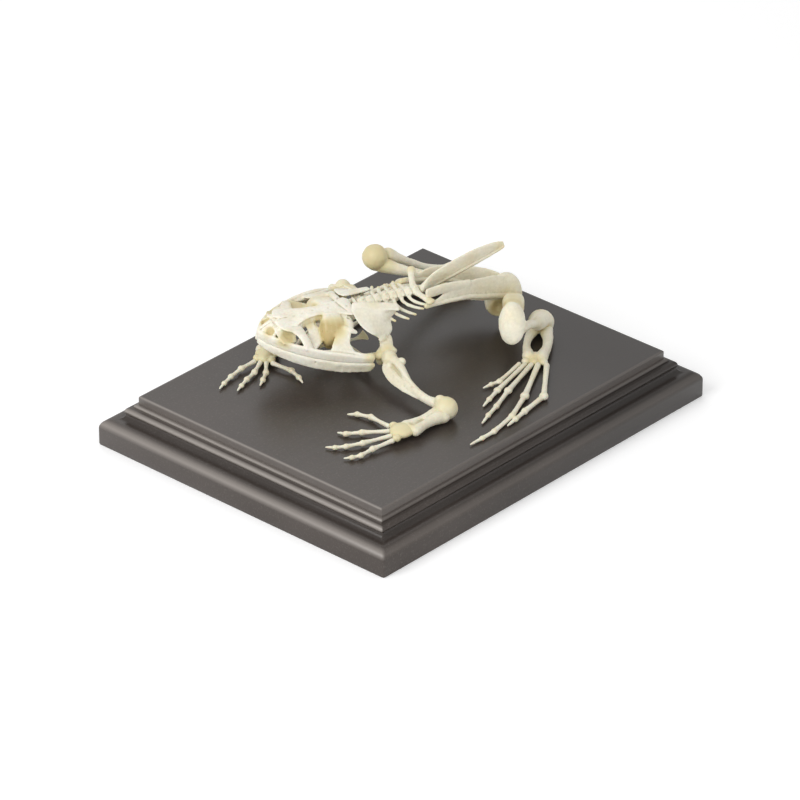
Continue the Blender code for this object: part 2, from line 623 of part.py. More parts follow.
def makeFoot(name, side):
    start = onPlinth(FOOT_START[name])
    facing = FOOT_HEADING[name]
    along, across = heading(facing), heading(facing + 90 * side)
    length = 28.4
    pieces = []
    for lean, radii in ((-1, [1.7, 1.5, 1.3, 1.7, 2.0]), (1, [2.0, 2.1, 2.0, 1.8, 1.9])):
        path = [start + along * (9.6 + part * (length - 12.0)) + across * lean * spread
                for part, spread in ((0.0, 2.5), (0.2, 3.4), (0.5, 3.7), (0.85, 3.3), (1.0, 3.1))]
        pieces.append(rod(path, radii))
    for reach, wide in ((10.2, 1.7), (length - 2.4, 2.2)):
        spot = start + along * reach
        path = [spot - across * 3.0, spot, spot + across * 3.0]
        pieces.append(blade(path, [wide - 0.4, wide, wide - 0.4], [1.4, 1.5, 1.4]))
    for i in range(3):
        spot = start + along * length + across * (3.2 * (i - 1)) + Vector((0, 0, -0.5))
        pieces.append(ball(spot, 1.4, (1.0, 1.2, 0.9), (0, 0, facing), rings=5))
    fuse("tarsus_" + name, pieces, bone)
    toes = (((-25, -53, -49), (14.6, 3.6, 3.8), -5.6, 0.85), ((-23, -20, -21), (21.7, 6.9, 5.3), -3.4, 0.9),
            ((-19, -16, -20, -17), (21.1, 11.9, 6.9, 6.3), -0.95, 1.0),
            ((-7, -13, -26, -37, -39), (23.6, 15.1, 12.4, 6.4, 6.6), 1.4, 1.1),
            ((2, -28, -26, -28), (22.6, 12.8, 6.4, 5.7), 4.6, 1.15))
    spread = 1.0 if name == "left" else 0.6
    for number, (bends, bones, shift, radius) in enumerate(toes, start=1):
        root = start + along * 30.4 + across * shift + Vector((0, 0, -0.8))
        turns = [TOE_BASE[name] + bend * side * spread for bend in bends]
        fuse("toe_%d_%s" % (number, name), [digitChain(root, turns, bones, radius)], bone)


clearScene()
skeleton = makeCollection("frog_skeleton")
lacquer = makeMaterial("lacquered_wood", LACQUER, 0.35)
bone = makeMaterial("bone", BONE, 0.55)
bonePale = makeMaterial("pale_bone", BONE_PALE, 0.5)
cartilage = makeMaterial("cartilage", CARTILAGE, 0.45)
head = addEmpty("head", onPlinth(SKULL_PLACE), SKULL_TURN)
trunk = addEmpty("trunk", onPlinth(TRUNK_PLACE), TRUNK_TURN)
bpy.context.view_layer.update()
makePlinth()
makeSkull()
makeMandibles()
makeVertebrae()
makeSacrum()
makeUrostyle()
makeShoulders()
makeSternum()
makePelvis()
for sideName, sideSign in SIDES.items():
    makeHumerus(sideName, sideSign)
    makeRadioulna(sideName)
    makeHand(sideName, sideSign)
    makeFemur(sideName)
    makeTibiofibula(sideName)
    makeFoot(sideName, sideSign)
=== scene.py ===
# Frog skeleton on its plinth: each bone is modelled from soft lofts, fused, worn and coloured.
from math import copysign, cos, pi, radians, sin

import bmesh
import bpy
import numpy as np
from mathutils import Euler, Matrix, Vector, noise


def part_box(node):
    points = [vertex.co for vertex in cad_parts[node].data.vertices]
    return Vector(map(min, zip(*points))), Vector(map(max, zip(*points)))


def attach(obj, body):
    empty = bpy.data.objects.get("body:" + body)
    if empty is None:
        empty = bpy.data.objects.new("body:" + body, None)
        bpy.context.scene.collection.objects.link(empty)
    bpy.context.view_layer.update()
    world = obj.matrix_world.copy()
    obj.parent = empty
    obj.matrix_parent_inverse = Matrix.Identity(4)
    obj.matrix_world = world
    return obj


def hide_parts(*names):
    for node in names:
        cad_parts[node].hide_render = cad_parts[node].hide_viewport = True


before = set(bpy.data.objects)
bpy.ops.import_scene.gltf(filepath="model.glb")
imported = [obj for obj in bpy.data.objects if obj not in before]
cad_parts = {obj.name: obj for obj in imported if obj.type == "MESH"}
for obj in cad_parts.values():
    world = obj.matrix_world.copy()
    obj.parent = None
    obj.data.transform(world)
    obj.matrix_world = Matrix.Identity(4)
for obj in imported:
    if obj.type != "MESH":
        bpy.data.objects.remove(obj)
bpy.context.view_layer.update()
mm = 0.001  # all lengths below are in millimetres
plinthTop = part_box("base_plinth")[1].z / mm
sides = {"left": 1, "right": -1}

pose = {
    "skullPlace": (-6, 21.5, 13.6), "skullTurn": (-12, -6, 154),
    "trunkPlace": (-3.1, 21.5, 21.5), "trunkTurn": (-12, 2.3, 154.5),
    "vertebraPitch": 3, "presacrals": 8, "urostyleTip": (51.1, -3.6, 34.9),
    "discPlace": (54, -1.8, 11.2), "pelvisYaw": 158,
    "shoulder": {"left": (-6.7, 0.8, 9), "right": (11, 40, 17)},
    "elbow": {"left": (-14.3, -33.9, 4.9), "right": (-9, 54.6, 4.9)},
    "wrist": {"left": (-33.8, -32.4, 3), "right": (-25.9, 44, 3)},
    "hip": {"left": (54.4, -6.1, 10.6), "right": (56.2, 3.2, 10.6)},
    "knee": {"left": (20.2, -35.1, 25), "right": (26, 37.6, 24.5)},
    "heel": {"left": (56.9, -17.5, 4.9), "right": (66.5, 30.3, 4.9)},
    "handHeading": {"left": 140, "right": 210},
    "footStart": {"left": (59.4, -15.4, 2.6), "right": (68.6, 29.6, 2.6)},
    "footHeading": {"left": 216.2, "right": 154}, "toeHeading": {"left": 216.2, "right": 173},
}


# frames of reference
def onPlinth(place):
    return Vector((place[0], place[1], place[2] + plinthTop))


def frameAt(place, turn):
    return Matrix.Translation(onPlinth(place)) @ Euler([radians(a) for a in turn]).to_matrix().to_4x4()


def heading(degrees):
    return Vector((cos(radians(degrees)), sin(radians(degrees)), 0))


def lifted(height):
    return Vector((0, 0, height))


def turnToward(along):
    return along.to_track_quat("X", "Z").to_matrix().to_4x4()


world = Matrix.Identity(4)
head = frameAt(pose["skullPlace"], pose["skullTurn"])
trunk = frameAt(pose["trunkPlace"], pose["trunkTurn"])


# soft lofts: a row is x, y, z, half width, half height
def throughRows(rows, steps):
    rows = np.array(rows, float)
    ends = np.vstack([2 * rows[0] - rows[1], rows, 2 * rows[-1] - rows[-2]])
    line = []
    for i in range(1, len(ends) - 2):
        a, b, c, d = ends[i - 1:i + 3]
        for t in np.arange(steps) / steps:
            line.append(b + 0.5 * t * (c - a + t * (2 * a - 5 * b + 4 * c - d + t * (3 * (b - c) + d - a))))
    line.append(rows[-1])
    return np.array(line)


def closeRings(lump, rings):
    around = len(rings[0])
    for low, high in zip(rings, rings[1:]):
        for k in range(around):
            j = (k + 1) % around
            lump.faces.new((low[k], low[j], high[j], high[k]))
    lump.faces.new(rings[0][::-1])
    lump.faces.new(rings[-1])


def spindle(lump, rows, up=(0, 0, 1), steps=5, around=14, square=1.0):
    line = throughRows(rows, steps)
    points = [Vector(row[:3]) for row in line]
    last = len(points) - 1
    rings = []
    for i, row in enumerate(line):
        along = (points[min(i + 1, last)] - points[max(i - 1, 0)]).normalized()
        side = along.cross(Vector(up)).normalized()
        lift = side.cross(along)
        wide, high = max(row[3], 0.08), max(row[4], 0.08)
        caps = [(0, 1)]
        if i in (0, last):  # a round end
            sign = -1 if i == 0 else 1
            dome = [(sign * sin(a), cos(a)) for a in (0.45, 0.9, 1.3)]
            caps = dome[::-1] + caps if i == 0 else caps + dome
        for ahead, scale in caps:
            centre = points[i] + along * (ahead * min(wide, high))
            ring = []
            for k in range(around):
                turn = 2 * pi * (k + 0.5) / around
                x, y = cos(turn), sin(turn)
                x, y = copysign(abs(x) ** square, x), copysign(abs(y) ** square, y)
                ring.append(lump.verts.new(centre + side * (wide * scale * x) + lift * (high * scale * y)))
            rings.append(ring)
    closeRings(lump, rings)


def blob(lump, centre, size, turn=None):
    size = size if hasattr(size, "__len__") else (size, size, size)
    place = Matrix.Translation(Vector(centre)) @ (turn or world) @ Matrix.Diagonal((*size, 1))
    bmesh.ops.create_uvsphere(lump, u_segments=20, v_segments=12, radius=1.0, matrix=place)


# rows between two places; a station is the share of the way, the offset, and one or two half sizes
def rowsBetween(start, end, stations, aside):
    return [(*(start.lerp(end, t) + aside * shift), size[0], size[-1]) for t, shift, *size in stations]


def mirrorRows(rows, s):
    return [(x, s * y, *rest) for x, y, *rest in rows]


def mirrorSpots(spots, s):
    return [((x, s * y, z), *rest) for (x, y, z), *rest in spots]


def link(name, mesh):
    piece = bpy.data.objects.new(name, mesh)
    bpy.context.scene.collection.objects.link(piece)
    return piece


def evaluated(piece):
    seen = piece.evaluated_get(bpy.context.evaluated_depsgraph_get())
    mesh = bpy.data.meshes.new_from_object(seen)
    bpy.data.objects.remove(piece, do_unlink=True)
    return mesh


def asArray(items, name, width, kind=float):
    values = np.empty(len(items) * width, kind)
    items.foreach_get(name, values)
    return values.reshape(-1, width)


def neighbourMean(values, edges):
    total = np.zeros_like(values)
    degree = np.zeros(len(values))
    for a, b in ((0, 1), (1, 0)):
        np.add.at(total, edges[:, a], values[edges[:, b]])
        np.add.at(degree, edges[:, a], 1)
    degree = np.maximum(degree, 1)
    return total / (degree[:, None] if values.ndim == 2 else degree)


def storeMask(mesh, name, values):
    layer = mesh.attributes.new(name, "FLOAT", "POINT")
    layer.data.foreach_set("value", values.astype(np.float32))


# fuses a lump to one skin, wears it, and puts it in place of its CAD node
# a pit is centre, radius, depth; a gristle spot is centre, radius and strength, where below 0 clears and past
# 1 tans, for dried cartilage and painted shade
boneFinish = {"voxel": 0.28, "relax": 6, "swell": 0.06, "rough": 0.1, "grain": 2.2, "contrast": 5,
              "material": "bone"}


def makeBone(node, lump, place=world, gristle_and_shade=(), pits=(), **changes):
    setting = {**boneFinish, **changes}
    mesh = bpy.data.meshes.new(node)
    lump.transform(place)
    lump.to_mesh(mesh)
    lump.free()
    piece = link("lump", mesh)
    fuse = piece.modifiers.new("fuse", "REMESH")
    fuse.mode = "VOXEL"
    fuse.voxel_size = setting["voxel"]
    relax = piece.modifiers.new("relax", "SMOOTH")
    relax.factor = 0.5
    relax.iterations = setting["relax"]
    mesh = evaluated(piece)
    places, normals = asArray(mesh.vertices, "co", 3), asArray(mesh.vertex_normals, "vector", 3)
    edges = asArray(mesh.edges, "vertices", 2, np.int32)
    seed = Vector((len(node) * 3.7, sum(map(ord, node)) % 97, 1.3))
    wave = np.array([noise.fractal(Vector(p) / setting["grain"] + seed, 0.9, 2.1, 3) for p in places])
    push = setting["swell"] + setting["rough"] * wave
    for centre, radius, depth in pits:
        gap = np.linalg.norm(places - np.array(place @ Vector(centre)), axis=1) / radius
        push = push - depth * np.clip(1 - gap ** 2, 0, 1) ** 1.5
    places = places + normals * push[:, None]
    mesh.vertices.foreach_set("co", (places * mm).ravel())
    mesh.update()
    bend = ((neighbourMean(places, edges) - places) * normals).sum(axis=1) / setting["voxel"]
    for _ in range(3):
        bend = 0.4 * bend + 0.6 * neighbourMean(bend, edges)
    storeMask(mesh, "relief", np.clip(0.5 + setting["contrast"] * bend, 0, 1))
    # the gristle mask: up to 1 for cartilage; strong spots past 1 turn tan as painted shade
    soft = np.zeros(len(places))
    for centre, radius, *strength in gristle_and_shade:
        gap = np.linalg.norm(places - np.array(place @ Vector(centre)), axis=1) / radius
        amount = np.clip(1.9 * (1 - gap), 0, 1) * (strength[0] if strength else 1)
        soft = np.where(amount < 0, np.maximum(soft + amount, 0), np.maximum(soft, amount))
    storeMask(mesh, "gristle_and_shade", soft)
    mesh.shade_smooth()
    mesh.materials.clear()
    mesh.materials.append(materials[setting["material"]])
    mesh.name = node + "_skin"
    bone = link(node + "_skin", mesh)
    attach(bone, "root")
    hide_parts(node)


# shader groups: every one gives a colour, a roughness and a height for the bump
def addSocket(tree, label, side, kind, value=None):
    socket = tree.interface.new_socket(label, in_out=side, socket_type="NodeSocket" + kind)
    if value is not None:
        socket.default_value = value


def newGroup(name, colours, values):
    group = bpy.data.node_groups.new(name, "ShaderNodeTree")
    for label in colours:
        addSocket(group, label, "INPUT", "Color")
    for label, value in values.items():
        addSocket(group, label, "INPUT", "Float", value)
    for label, kind in (("Colour", "Color"), ("Roughness", "Float"), ("Height", "Float")):
        addSocket(group, label, "OUTPUT", kind)
    return group, group.nodes.new("NodeGroupInput").outputs, group.nodes.new("NodeGroupOutput").inputs


def feed(tree, socket, source):
    if isinstance(source, bpy.types.NodeSocket):
        tree.links.new(source, socket)
    else:
        socket.default_value = source


def addNode(tree, kind, links=None, **values):
    node = tree.nodes.new(kind)
    for key, value in values.items():
        setattr(node, key, value)
    for key, source in (links or {}).items():
        feed(tree, node.inputs[key], source)
    return node


def mixColour(tree, factor, a, b, blend="MIX"):
    mix = addNode(tree, "ShaderNodeMix", {0: factor, 6: a, 7: b}, data_type="RGBA", blend_type=blend)
    return mix.outputs[2]


def mathNode(tree, operation, a, b=0.0, clamp=False):
    return addNode(tree, "ShaderNodeMath", {0: a, 1: b}, operation=operation, use_clamp=clamp).outputs[0]


def mapRange(tree, value, low, high, toLow=0.0, toHigh=1.0):
    return addNode(tree, "ShaderNodeMapRange", {0: value, 1: low, 2: high, 3: toLow, 4: toHigh}).outputs[0]


def noiseNode(tree, place, scale, detail):
    links = {"Vector": place, "Scale": scale, "Detail": detail}
    return addNode(tree, "ShaderNodeTexNoise", links).outputs["Fac"]


# blotches of a warmer tone, painted shade darkening the hollows, pale wear on the ridges, then gristle and,
# past 1, tan for dried cartilage and painted shade
def makeBoneTone():
    tree, take, give = newGroup("boneTone", ("Pale", "Warm", "Hollow Shade", "Gristle Tone", "Tan Tone"),
                                {"Relief": 0.5, "Gristle_And_Shade": 0, "Hollow Shade Amount": 0.5})
    place = addNode(tree, "ShaderNodeTexCoord").outputs["Object"]
    broad = noiseNode(tree, place, 110, 3)
    fine = noiseNode(tree, place, 900, 4)
    pores = addNode(tree, "ShaderNodeTexVoronoi", {"Vector": place, "Scale": 1500}).outputs["Distance"]
    body = mixColour(tree, mapRange(tree, broad, 0.42, 0.66), take["Pale"], take["Warm"])
    speck = mapRange(tree, fine, 0.35, 0.7, 0.93, 1.03)
    grey = addNode(tree, "ShaderNodeCombineColor", {0: speck, 1: speck, 2: speck}).outputs[0]
    body = mixColour(tree, 1, body, grey, "MULTIPLY")
    # painted shade: the hollows are darkened toward the shade colour
    hollowShade = mathNode(tree, "MULTIPLY", mapRange(tree, take["Relief"], 0.54, 0.86), take["Hollow Shade Amount"], True)
    ridge = mapRange(tree, take["Relief"], 0.42, 0.1, 0, 0.45)
    soft = mathNode(tree, "MULTIPLY", take["Gristle_And_Shade"], mapRange(tree, broad, 0.3, 0.6, 0.65, 1), True)
    # past full gristle the colour turns tan: dried cartilage, and painted shade where a spot is set strong
    deep = mathNode(tree, "SUBTRACT", take["Gristle_And_Shade"], 1, True)
    for share, label in ((hollowShade, "Hollow Shade"), (ridge, "Pale"), (soft, "Gristle Tone"), (deep, "Tan Tone")):
        body = mixColour(tree, share, body, take[label])
    feed(tree, give["Colour"], body)
    dull = mapRange(tree, fine, 0.3, 0.7, 0.44, 0.6)
    sheen = mathNode(tree, "MULTIPLY", take["Gristle_And_Shade"], 0.1)
    feed(tree, give["Roughness"], mathNode(tree, "SUBTRACT", dull, sheen))
    grain = mathNode(tree, "MULTIPLY", fine, 0.6)
    feed(tree, give["Height"], mathNode(tree, "ADD", grain, mapRange(tree, pores, 0, 0.25, -0.5, 0)))
    return tree


# brushed lacquer: cloudy tone, faint grain, dust, painted shade darkening toward the tail, painted shade in
# the hollows and painted highlights on the edges
def makeLacquerTone():
    tree, take, give = newGroup("lacquerTone", ("Deep", "Light", "Dust_And_Highlight", "Shade"),
                                {"Painted_Light": 0, "Dust Amount": 0.1})
    place = addNode(tree, "ShaderNodeTexCoord").outputs["Object"]
    cloud = noiseNode(tree, place, 22, 3)
    long = addNode(tree, "ShaderNodeMapping", {"Vector": place, "Scale": (60, 900, 900)}).outputs[0]
    streak = noiseNode(tree, long, 1, 5)
    speck = noiseNode(tree, place, 1400, 2)
    dust = mathNode(tree, "MULTIPLY", mapRange(tree, speck, 0.55, 0.75), take["Dust Amount"])
    # painted shade: the lacquer darkens toward the tail end, along x
    ends = addNode(tree, "ShaderNodeSeparateXYZ", {"Vector": place}).outputs["X"]
    colour = take["Deep"]
    # the shade colour paints shade; the dust colour also paints the highlights
    for source, span, label in ((cloud, (0.35, 0.68), "Light"), (streak, (0.45, 0.75, 0, 0.3), "Light"),
                                (dust, (0, 1), "Dust_And_Highlight"), (ends, (-0.07, 0.05, 0, 0.65), "Shade"),
                                (take["Painted_Light"], (-1, 0, 0.9, 0), "Shade"), (take["Painted_Light"], (0, 1), "Dust_And_Highlight")):
        colour = mixColour(tree, mapRange(tree, source, *span), colour, take[label])
    feed(tree, give["Colour"], colour)
    dull = mapRange(tree, cloud, 0.3, 0.7, 0.3, 0.4)
    feed(tree, give["Roughness"], mathNode(tree, "ADD", dull, mathNode(tree, "MULTIPLY", dust, 0.5)))
    grain, grit = mathNode(tree, "MULTIPLY", streak, 0.7), mathNode(tree, "MULTIPLY", speck, 0.3)
    feed(tree, give["Height"], mathNode(tree, "ADD", grain, grit))
    return tree


# the bump's strength and depth, and what the shader holds besides
boneSurface = {"strength": 0.35, "depth": 0.12,
               "sockets": {"Subsurface Weight": 0.12, "Subsurface Scale": 0.0015, "IOR": 1.5}}
boneTones = {  # pale, warm and the painted hollow shade, and how strong that shade is
    "bone": ((0.86, 0.82, 0.67, 1), (0.8, 0.74, 0.55, 1), (0.4, 0.34, 0.17, 1), 0.6),
    "pale_bone": ((0.92, 0.88, 0.76, 1), (0.86, 0.81, 0.65, 1), (0.44, 0.38, 0.2, 1), 0.6),
    "cartilage": ((0.8, 0.74, 0.5, 1), (0.7, 0.61, 0.34, 1), (0.36, 0.29, 0.12, 1), 0.55),
}
jointTones = {"Gristle Tone": (0.76, 0.68, 0.41, 1), "Tan Tone": (0.56, 0.44, 0.2, 1)}
lacquerSurface = {"strength": 0.2, "depth": 0.06,
                  "sockets": {"Coat Weight": 0.2, "Coat Roughness": 0.25, "Specular IOR Level": 0.32}}
# Shade is painted shade; Dust is settled dust and also the painted highlight
lacquerTones = {"Deep": (0.044, 0.034, 0.028, 1), "Light": (0.066, 0.053, 0.046, 1),
                "Shade": (0.01, 0.007, 0.005, 1), "Dust_And_Highlight": (0.32, 0.29, 0.265, 1), "Dust Amount": 0.12}


def makeMaterial(name, group, tones, masks, surface):
    made = bpy.data.materials.new(name)
    made.use_nodes = True
    tree = made.node_tree
    shader = tree.nodes["Principled BSDF"]
    tone = addNode(tree, "ShaderNodeGroup", tones, node_tree=group)
    for label in masks:
        mask = addNode(tree, "ShaderNodeAttribute", attribute_name=label.lower())
        feed(tree, tone.inputs[label], mask.outputs["Fac"])
    bump = addNode(tree, "ShaderNodeBump", {"Height": tone.outputs["Height"], "Strength": surface["strength"],
                                            "Distance": surface["depth"] * mm})
    links = {"Base Color": tone.outputs["Colour"], "Roughness": tone.outputs["Roughness"],
             "Normal": bump.outputs["Normal"], **surface["sockets"]}
    for label, source in links.items():
        feed(tree, shader.inputs[label], source)
    return made


def makeMaterials():
    boneTone, lacquerTone = makeBoneTone(), makeLacquerTone()
    made = {}
    for name, row in boneTones.items():
        tones = {**dict(zip(("Pale", "Warm", "Hollow Shade", "Hollow Shade Amount"), row)), **jointTones}
        made[name] = makeMaterial(name, boneTone, tones, ("Relief", "Gristle_And_Shade"), boneSurface)
    wood = "lacquered_wood"
    made[wood] = makeMaterial(wood, lacquerTone, lacquerTones, ("Painted_Light",), lacquerSurface)
    return made


materials = makeMaterials()
print("materials ready")


# the skull, in its own frame: x forward from the neck, y left, z up from the line between the jaws
jaw = {"front": 37.8, "halfWidth": 20.7, "hinge": 1.8, "bands": 0.45}


def jawPoint(degrees, inward=0.0, z=0.0):
    reach = cos(radians(min(abs(degrees), 90)))
    side = copysign(1, degrees)
    across = side * (jaw["halfWidth"] - inward) * (1 - reach ** 1.7) ** 0.7
    return ((jaw["front"] - inward) * reach - jaw["hinge"], across, z)


def jawRow(degrees, z, wide, high):
    return (*jawPoint(degrees, jaw["bands"], z), wide, high)


plate = {"square": 0.85}
skull = {
    "brain": [(0.4, 2.6, 8.3, 1.5), (2, 4.6, 7.4, 2.8), (4.2, 6.6, 7, 3.2), (6.6, 6, 6.8, 3.1),
              (9.5, 3.2, 6.8, 2.9), (12.5, 2.4, 7, 2.5), (15.5, 2.3, 6.9, 2.4), (19, 3.2, 6.2, 2.7),
              (22.5, 4.5, 5.6, 2.5), (26, 4.4, 4.9, 2.4), (30, 4, 3.9, 2.1), (33.2, 2.6, 2.9, 1.5)],
    "roof": [(0.8, 4.2, 10), (2.6, 5, 10.3), (5.6, 3.8, 10.3), (10, 2.7, 10), (16, 2.6, 9.4),
             (20, 3.4, 8.5), (23, 4.6, 7.6), (26, 4.6, 7.1), (28.4, 3.6, 6.7)],
    "bars": [  # one side's, with the distance from the middle as y
        ([(26.8, 0.8, 7.4, 4.2, 0.55), (26.2, 3.4, 7, 3.8, 0.55), (23.8, 6, 6.7, 2.7, 0.55),
          (22.2, 9.5, 5.9, 1.8, 0.6), (21.2, 12.2, 4.4, 1.8, 0.6), (20.8, 13.6, 3.2, 1.7, 0.5)],
         {"around": 16, "square": 0.85}),  # nasal, down to the jaw before the eye
        ([(28.2, 2.4, 5.8, 3.8, 0.5), (27.3, 5.2, 4.8, 4, 0.5), (27.1, 7.2, 4, 3.4, 0.5),
          (26.8, 9, 3.2, 2.9, 0.5)], plate),  # cheek beside the nose
        ([(16.8, 2.4, 5.7, 2.6, 0.5), (16.6, 4.6, 4.9, 2.3, 0.5), (16.5, 6.6, 4.1, 2.4, 0.5),
          (17.2, 8.8, 3.4, 3.3, 0.5), (18.6, 12, 2.7, 1.6, 0.5),
          (19.4, 13.9, 2.4, 1.3, 0.5)], plate),  # palate
        ([(31.2, 0.8, 3.2, 3.6, 0.45), (30.6, 3.6, 2.7, 3.2, 0.45), (29.4, 6.4, 2.2, 2.4, 0.45)], plate),
        ([(6.2, 9.4, 8.1, 2.4, 0.8), (7.4, 11.4, 7, 2.8, 0.55), (8.4, 13.4, 5.2, 3.1, 0.5),
          (8.8, 15.4, 3.7, 4.2, 0.5), (8.9, 17.7, 2.6, 5.4, 0.6)], plate),  # pillar behind the eye
        ([(-1.1, 19.6, 1.7, 1.3, 1.4), (2.6, 18.7, 2, 0.9, 1.3), (7.4, 16.6, 2.7, 1.2, 1),
          (12.8, 15.9, 2.6, 1, 0.8), (18.6, 14.4, 2.3, 0.8, 0.6)], {}),  # pterygoid, joint to palate
        ([(7.4, 16.6, 2.7, 1.3, 0.8), (6.8, 10.8, 3.2, 0.9, 0.6), (5.6, 5.6, 4.4, 1, 0.9)], {}),
        ([(6.4, 9.6, 8.4, 0.9, 0.9), (4.4, 10.8, 8, 1.1, 0.9), (2.6, 11.4, 7.3, 0.8, 0.6)], {}),  # rear spur
        ([(3.9, 4, 7.2, 2.3, 2.3), (4.4, 7.4, 7.6, 2.3, 2), (5, 9.8, 8, 1.6, 1.1)], {}),  # ear capsule
        ([(6.3, 2.2, 3.9, 1.1, 0.6), (4.6, 6, 4.2, 1.3, 0.5), (3.6, 8.8, 4.7, 0.9, 0.5)], {}),
        ([(32.3, 4.3, 2.2, 0.8, 0.9), (31.2, 4.3, 4.2, 0.75, 0.8), (29, 3.8, 6, 1, 0.7)],
         {"up": (1, 0, 0.3)}),  # beside the nostril
        ([(35.2, 0.9, 2.4, 0.6, 0.6), (33.6, 0.8, 4.4, 0.6, 0.5), (31.4, 1, 5.8, 0.9, 0.5)],
         {"up": (1, 0, 0.3)}),  # tip of the snout
        ([(9.9, 7.6, 1.2, 3, 3.2), (9.9, 7.6, 2.6, 3.9, 4.1), (9.9, 7, 4.8, 3.9, 4.4),
          (9.9, 5.8, 6.8, 3.4, 4.3), (9.9, 4.2, 8.4, 2.4, 3.8), (9.9, 3, 9.3, 1.4, 3.2)],
         {"up": (1, 0, 0), "around": 20, "square": 0.5}),  # the bulge behind the eye, its tan painted shade
    ],
    "farOrbitShadeSheet": [(19.4, 4.6, 5.2, 5, 0.5), (18.4, 8.6, 4, 5, 0.5), (16.6, 13.4, 2.8, 5, 0.5)],
    "knobs": [((-1.1, 19.6, 1.7), (1.9, 1.5, 1.7)), ((0.3, 2.4, 7.3), (1.3, 1.2, 1.1))],  # jaw joint, condyle
    "cordHole": [((1, 0, 8.6), 1.7, 1.5), ((-0.4, 0, 8.4), 1.8, 1.5)],
    "pits": [((32.2, 2.9, 4), 1.9, 0.9), ((26.6, 6.4, 4.6), 2.6, 0.6), ((8.6, 3.6, 8.4), 1, 0.6),
             ((14.2, 2.4, 5.2), 1.9, 1), ((3.6, 5.6, 9.4), 1, 0.6)],
    "gristle_and_shade": [((27.8, 7.2, 3.6), 4.6, 1.5), ((32.4, 2.7, 3.6), 3, 1.4), ((-1.1, 19.6, 1.7), 3.6, 1)],
    # painted shade: the near orbit's wall is tanned past full gristle, the far one gets only a light gristle
    # tone
    "tan": [((x, y, z), 5) for x in (8.4, 10.6, 12.6) for y, z in ((10.2, 2.8), (8.8, 5.4), (7.4, 6.8))],
    "clear": [((17.6, y, z), 3.4, -2) for y, z in ((4, 5), (6.6, 4.1), (9, 3.4))],  # pale palate
    # painted shade on the braincase wall under the roof's edge
    "yellow": [((13.5, 3, 7.6), 3.6, 1.3), ((18.5, 3.4, 6.8), 3, 1)],
}


def skullSide(lump, s):
    rim = []
    for a in range(1, 92, 5):
        tall = 1.45 + 0.5 * min(1, a / 22) - 0.85 * max(0, a - 74) / 17
        rim.append(jawRow(s * a, tall - 0.1, 0.72, tall))
    spindle(lump, rim, steps=2, around=16, square=0.5)  # the upper jaw, a smooth upright band
    for rows, options in skull["bars"]:
        spindle(lump, mirrorRows(rows, s), **options)
    for centre, size in mirrorSpots(skull["knobs"], s):
        blob(lump, centre, size)
    if s < 0:  # a thin sheet across the far orbit, tan-green as painted shade
        spindle(lump, mirrorRows(skull["farOrbitShadeSheet"], s))


def makeSkull():
    lump = bmesh.new()
    spindle(lump, [(x, 0, z, w, h) for x, w, z, h in skull["brain"]], around=20, square=0.85)
    spindle(lump, [(x, 0, z, w, 0.5) for x, w, z in skull["roof"]], around=16, square=0.6)
    pits = [((x, 0, z + 0.5), 1, 0.14) for x, w, z in skull["roof"]] + skull["cordHole"]
    pits += [((4.9 - 0.2 * y, 0.5 * y, 10.6 - 0.012 * y * y), 0.9, 0.22) for y in range(-8, 9)]  # suture
    gristle_and_shade = []
    for s in sides.values():
        spindle(lump, [(x, s * (w - 0.35), z + 0.1, 0.4, 0.4) for x, w, z in skull["roof"]], around=8)
        skullSide(lump, s)
        pits += mirrorSpots(skull["pits"], s)
        gristle_and_shade += mirrorSpots(skull["gristle_and_shade"], s)
        # painted shade: strong tan in the near orbit, lighter in the far one
        gristle_and_shade += [(*spot, 1.3 + 0.7 * s) for spot in mirrorSpots(skull["tan"], s)]
        gristle_and_shade += mirrorSpots(skull["clear"] + skull["yellow"], s)
    # painted shade on the far orbit's sheet, tanned past full gristle
    gristle_and_shade += [((19 - 0.8 * k, -6 - 2.4 * k, 5 - 0.8 * k), 4.4, 1.5) for k in range(3)]
    makeBone("skull", lump, head, gristle_and_shade, pits, relax=5, material="pale_bone", rough=0.08)


mandible = {"turns": (7, 14, 26, 38, 50, 60, 70, 80, 88, 91.5), "wide": 0.78, "gap": 0.02,
            "depths": (1.15, 1.3, 1.6, 1.9, 2.15, 2.3, 2.3, 2.2, 2, 1.7)}


def makeMandibles():
    for name, s in sides.items():
        lump = bmesh.new()
        rows = []
        for turn, tall in zip(mandible["turns"], mandible["depths"]):
            low = mandible["gap"] + tall
            rows.append(jawRow(s * min(turn, 90), -low, mandible["wide"] + 0.002 * turn, tall))
        spindle(lump, rows, steps=6, around=16, square=0.55)
        x, y = jawPoint(s * 90, 0.5)[:2]
        spindle(lump, [(x + 3, y, -1.4, 0.8, 1), (x - 0.4, y, -1.7, 1.1, 1.2)])
        pits = [(jawPoint(s * 58, -0.3, -1.5), 0.7, 0.4)]
        pits += [(jawPoint(s * a, -0.6, -2.9), 1.8, 0.25) for a in (72, 76, 80, 84)]
        gristle_and_shade = [((x - 0.6, y, -1.8), 3.6, 1)]
        gristle_and_shade += [(jawPoint(s * a, -0.6, -3), 3.6, 0.02 * (a - 60)) for a in range(66, 91, 3)]
        makeBone("mandible_" + name, lump, head, gristle_and_shade, pits, voxel=0.24, material="pale_bone")


# teeth along the upper jaw, set out by a node tree
teeth = {"Count": 46, "Height": 0.75, "Radius": 0.24, "Lean": 8.0}


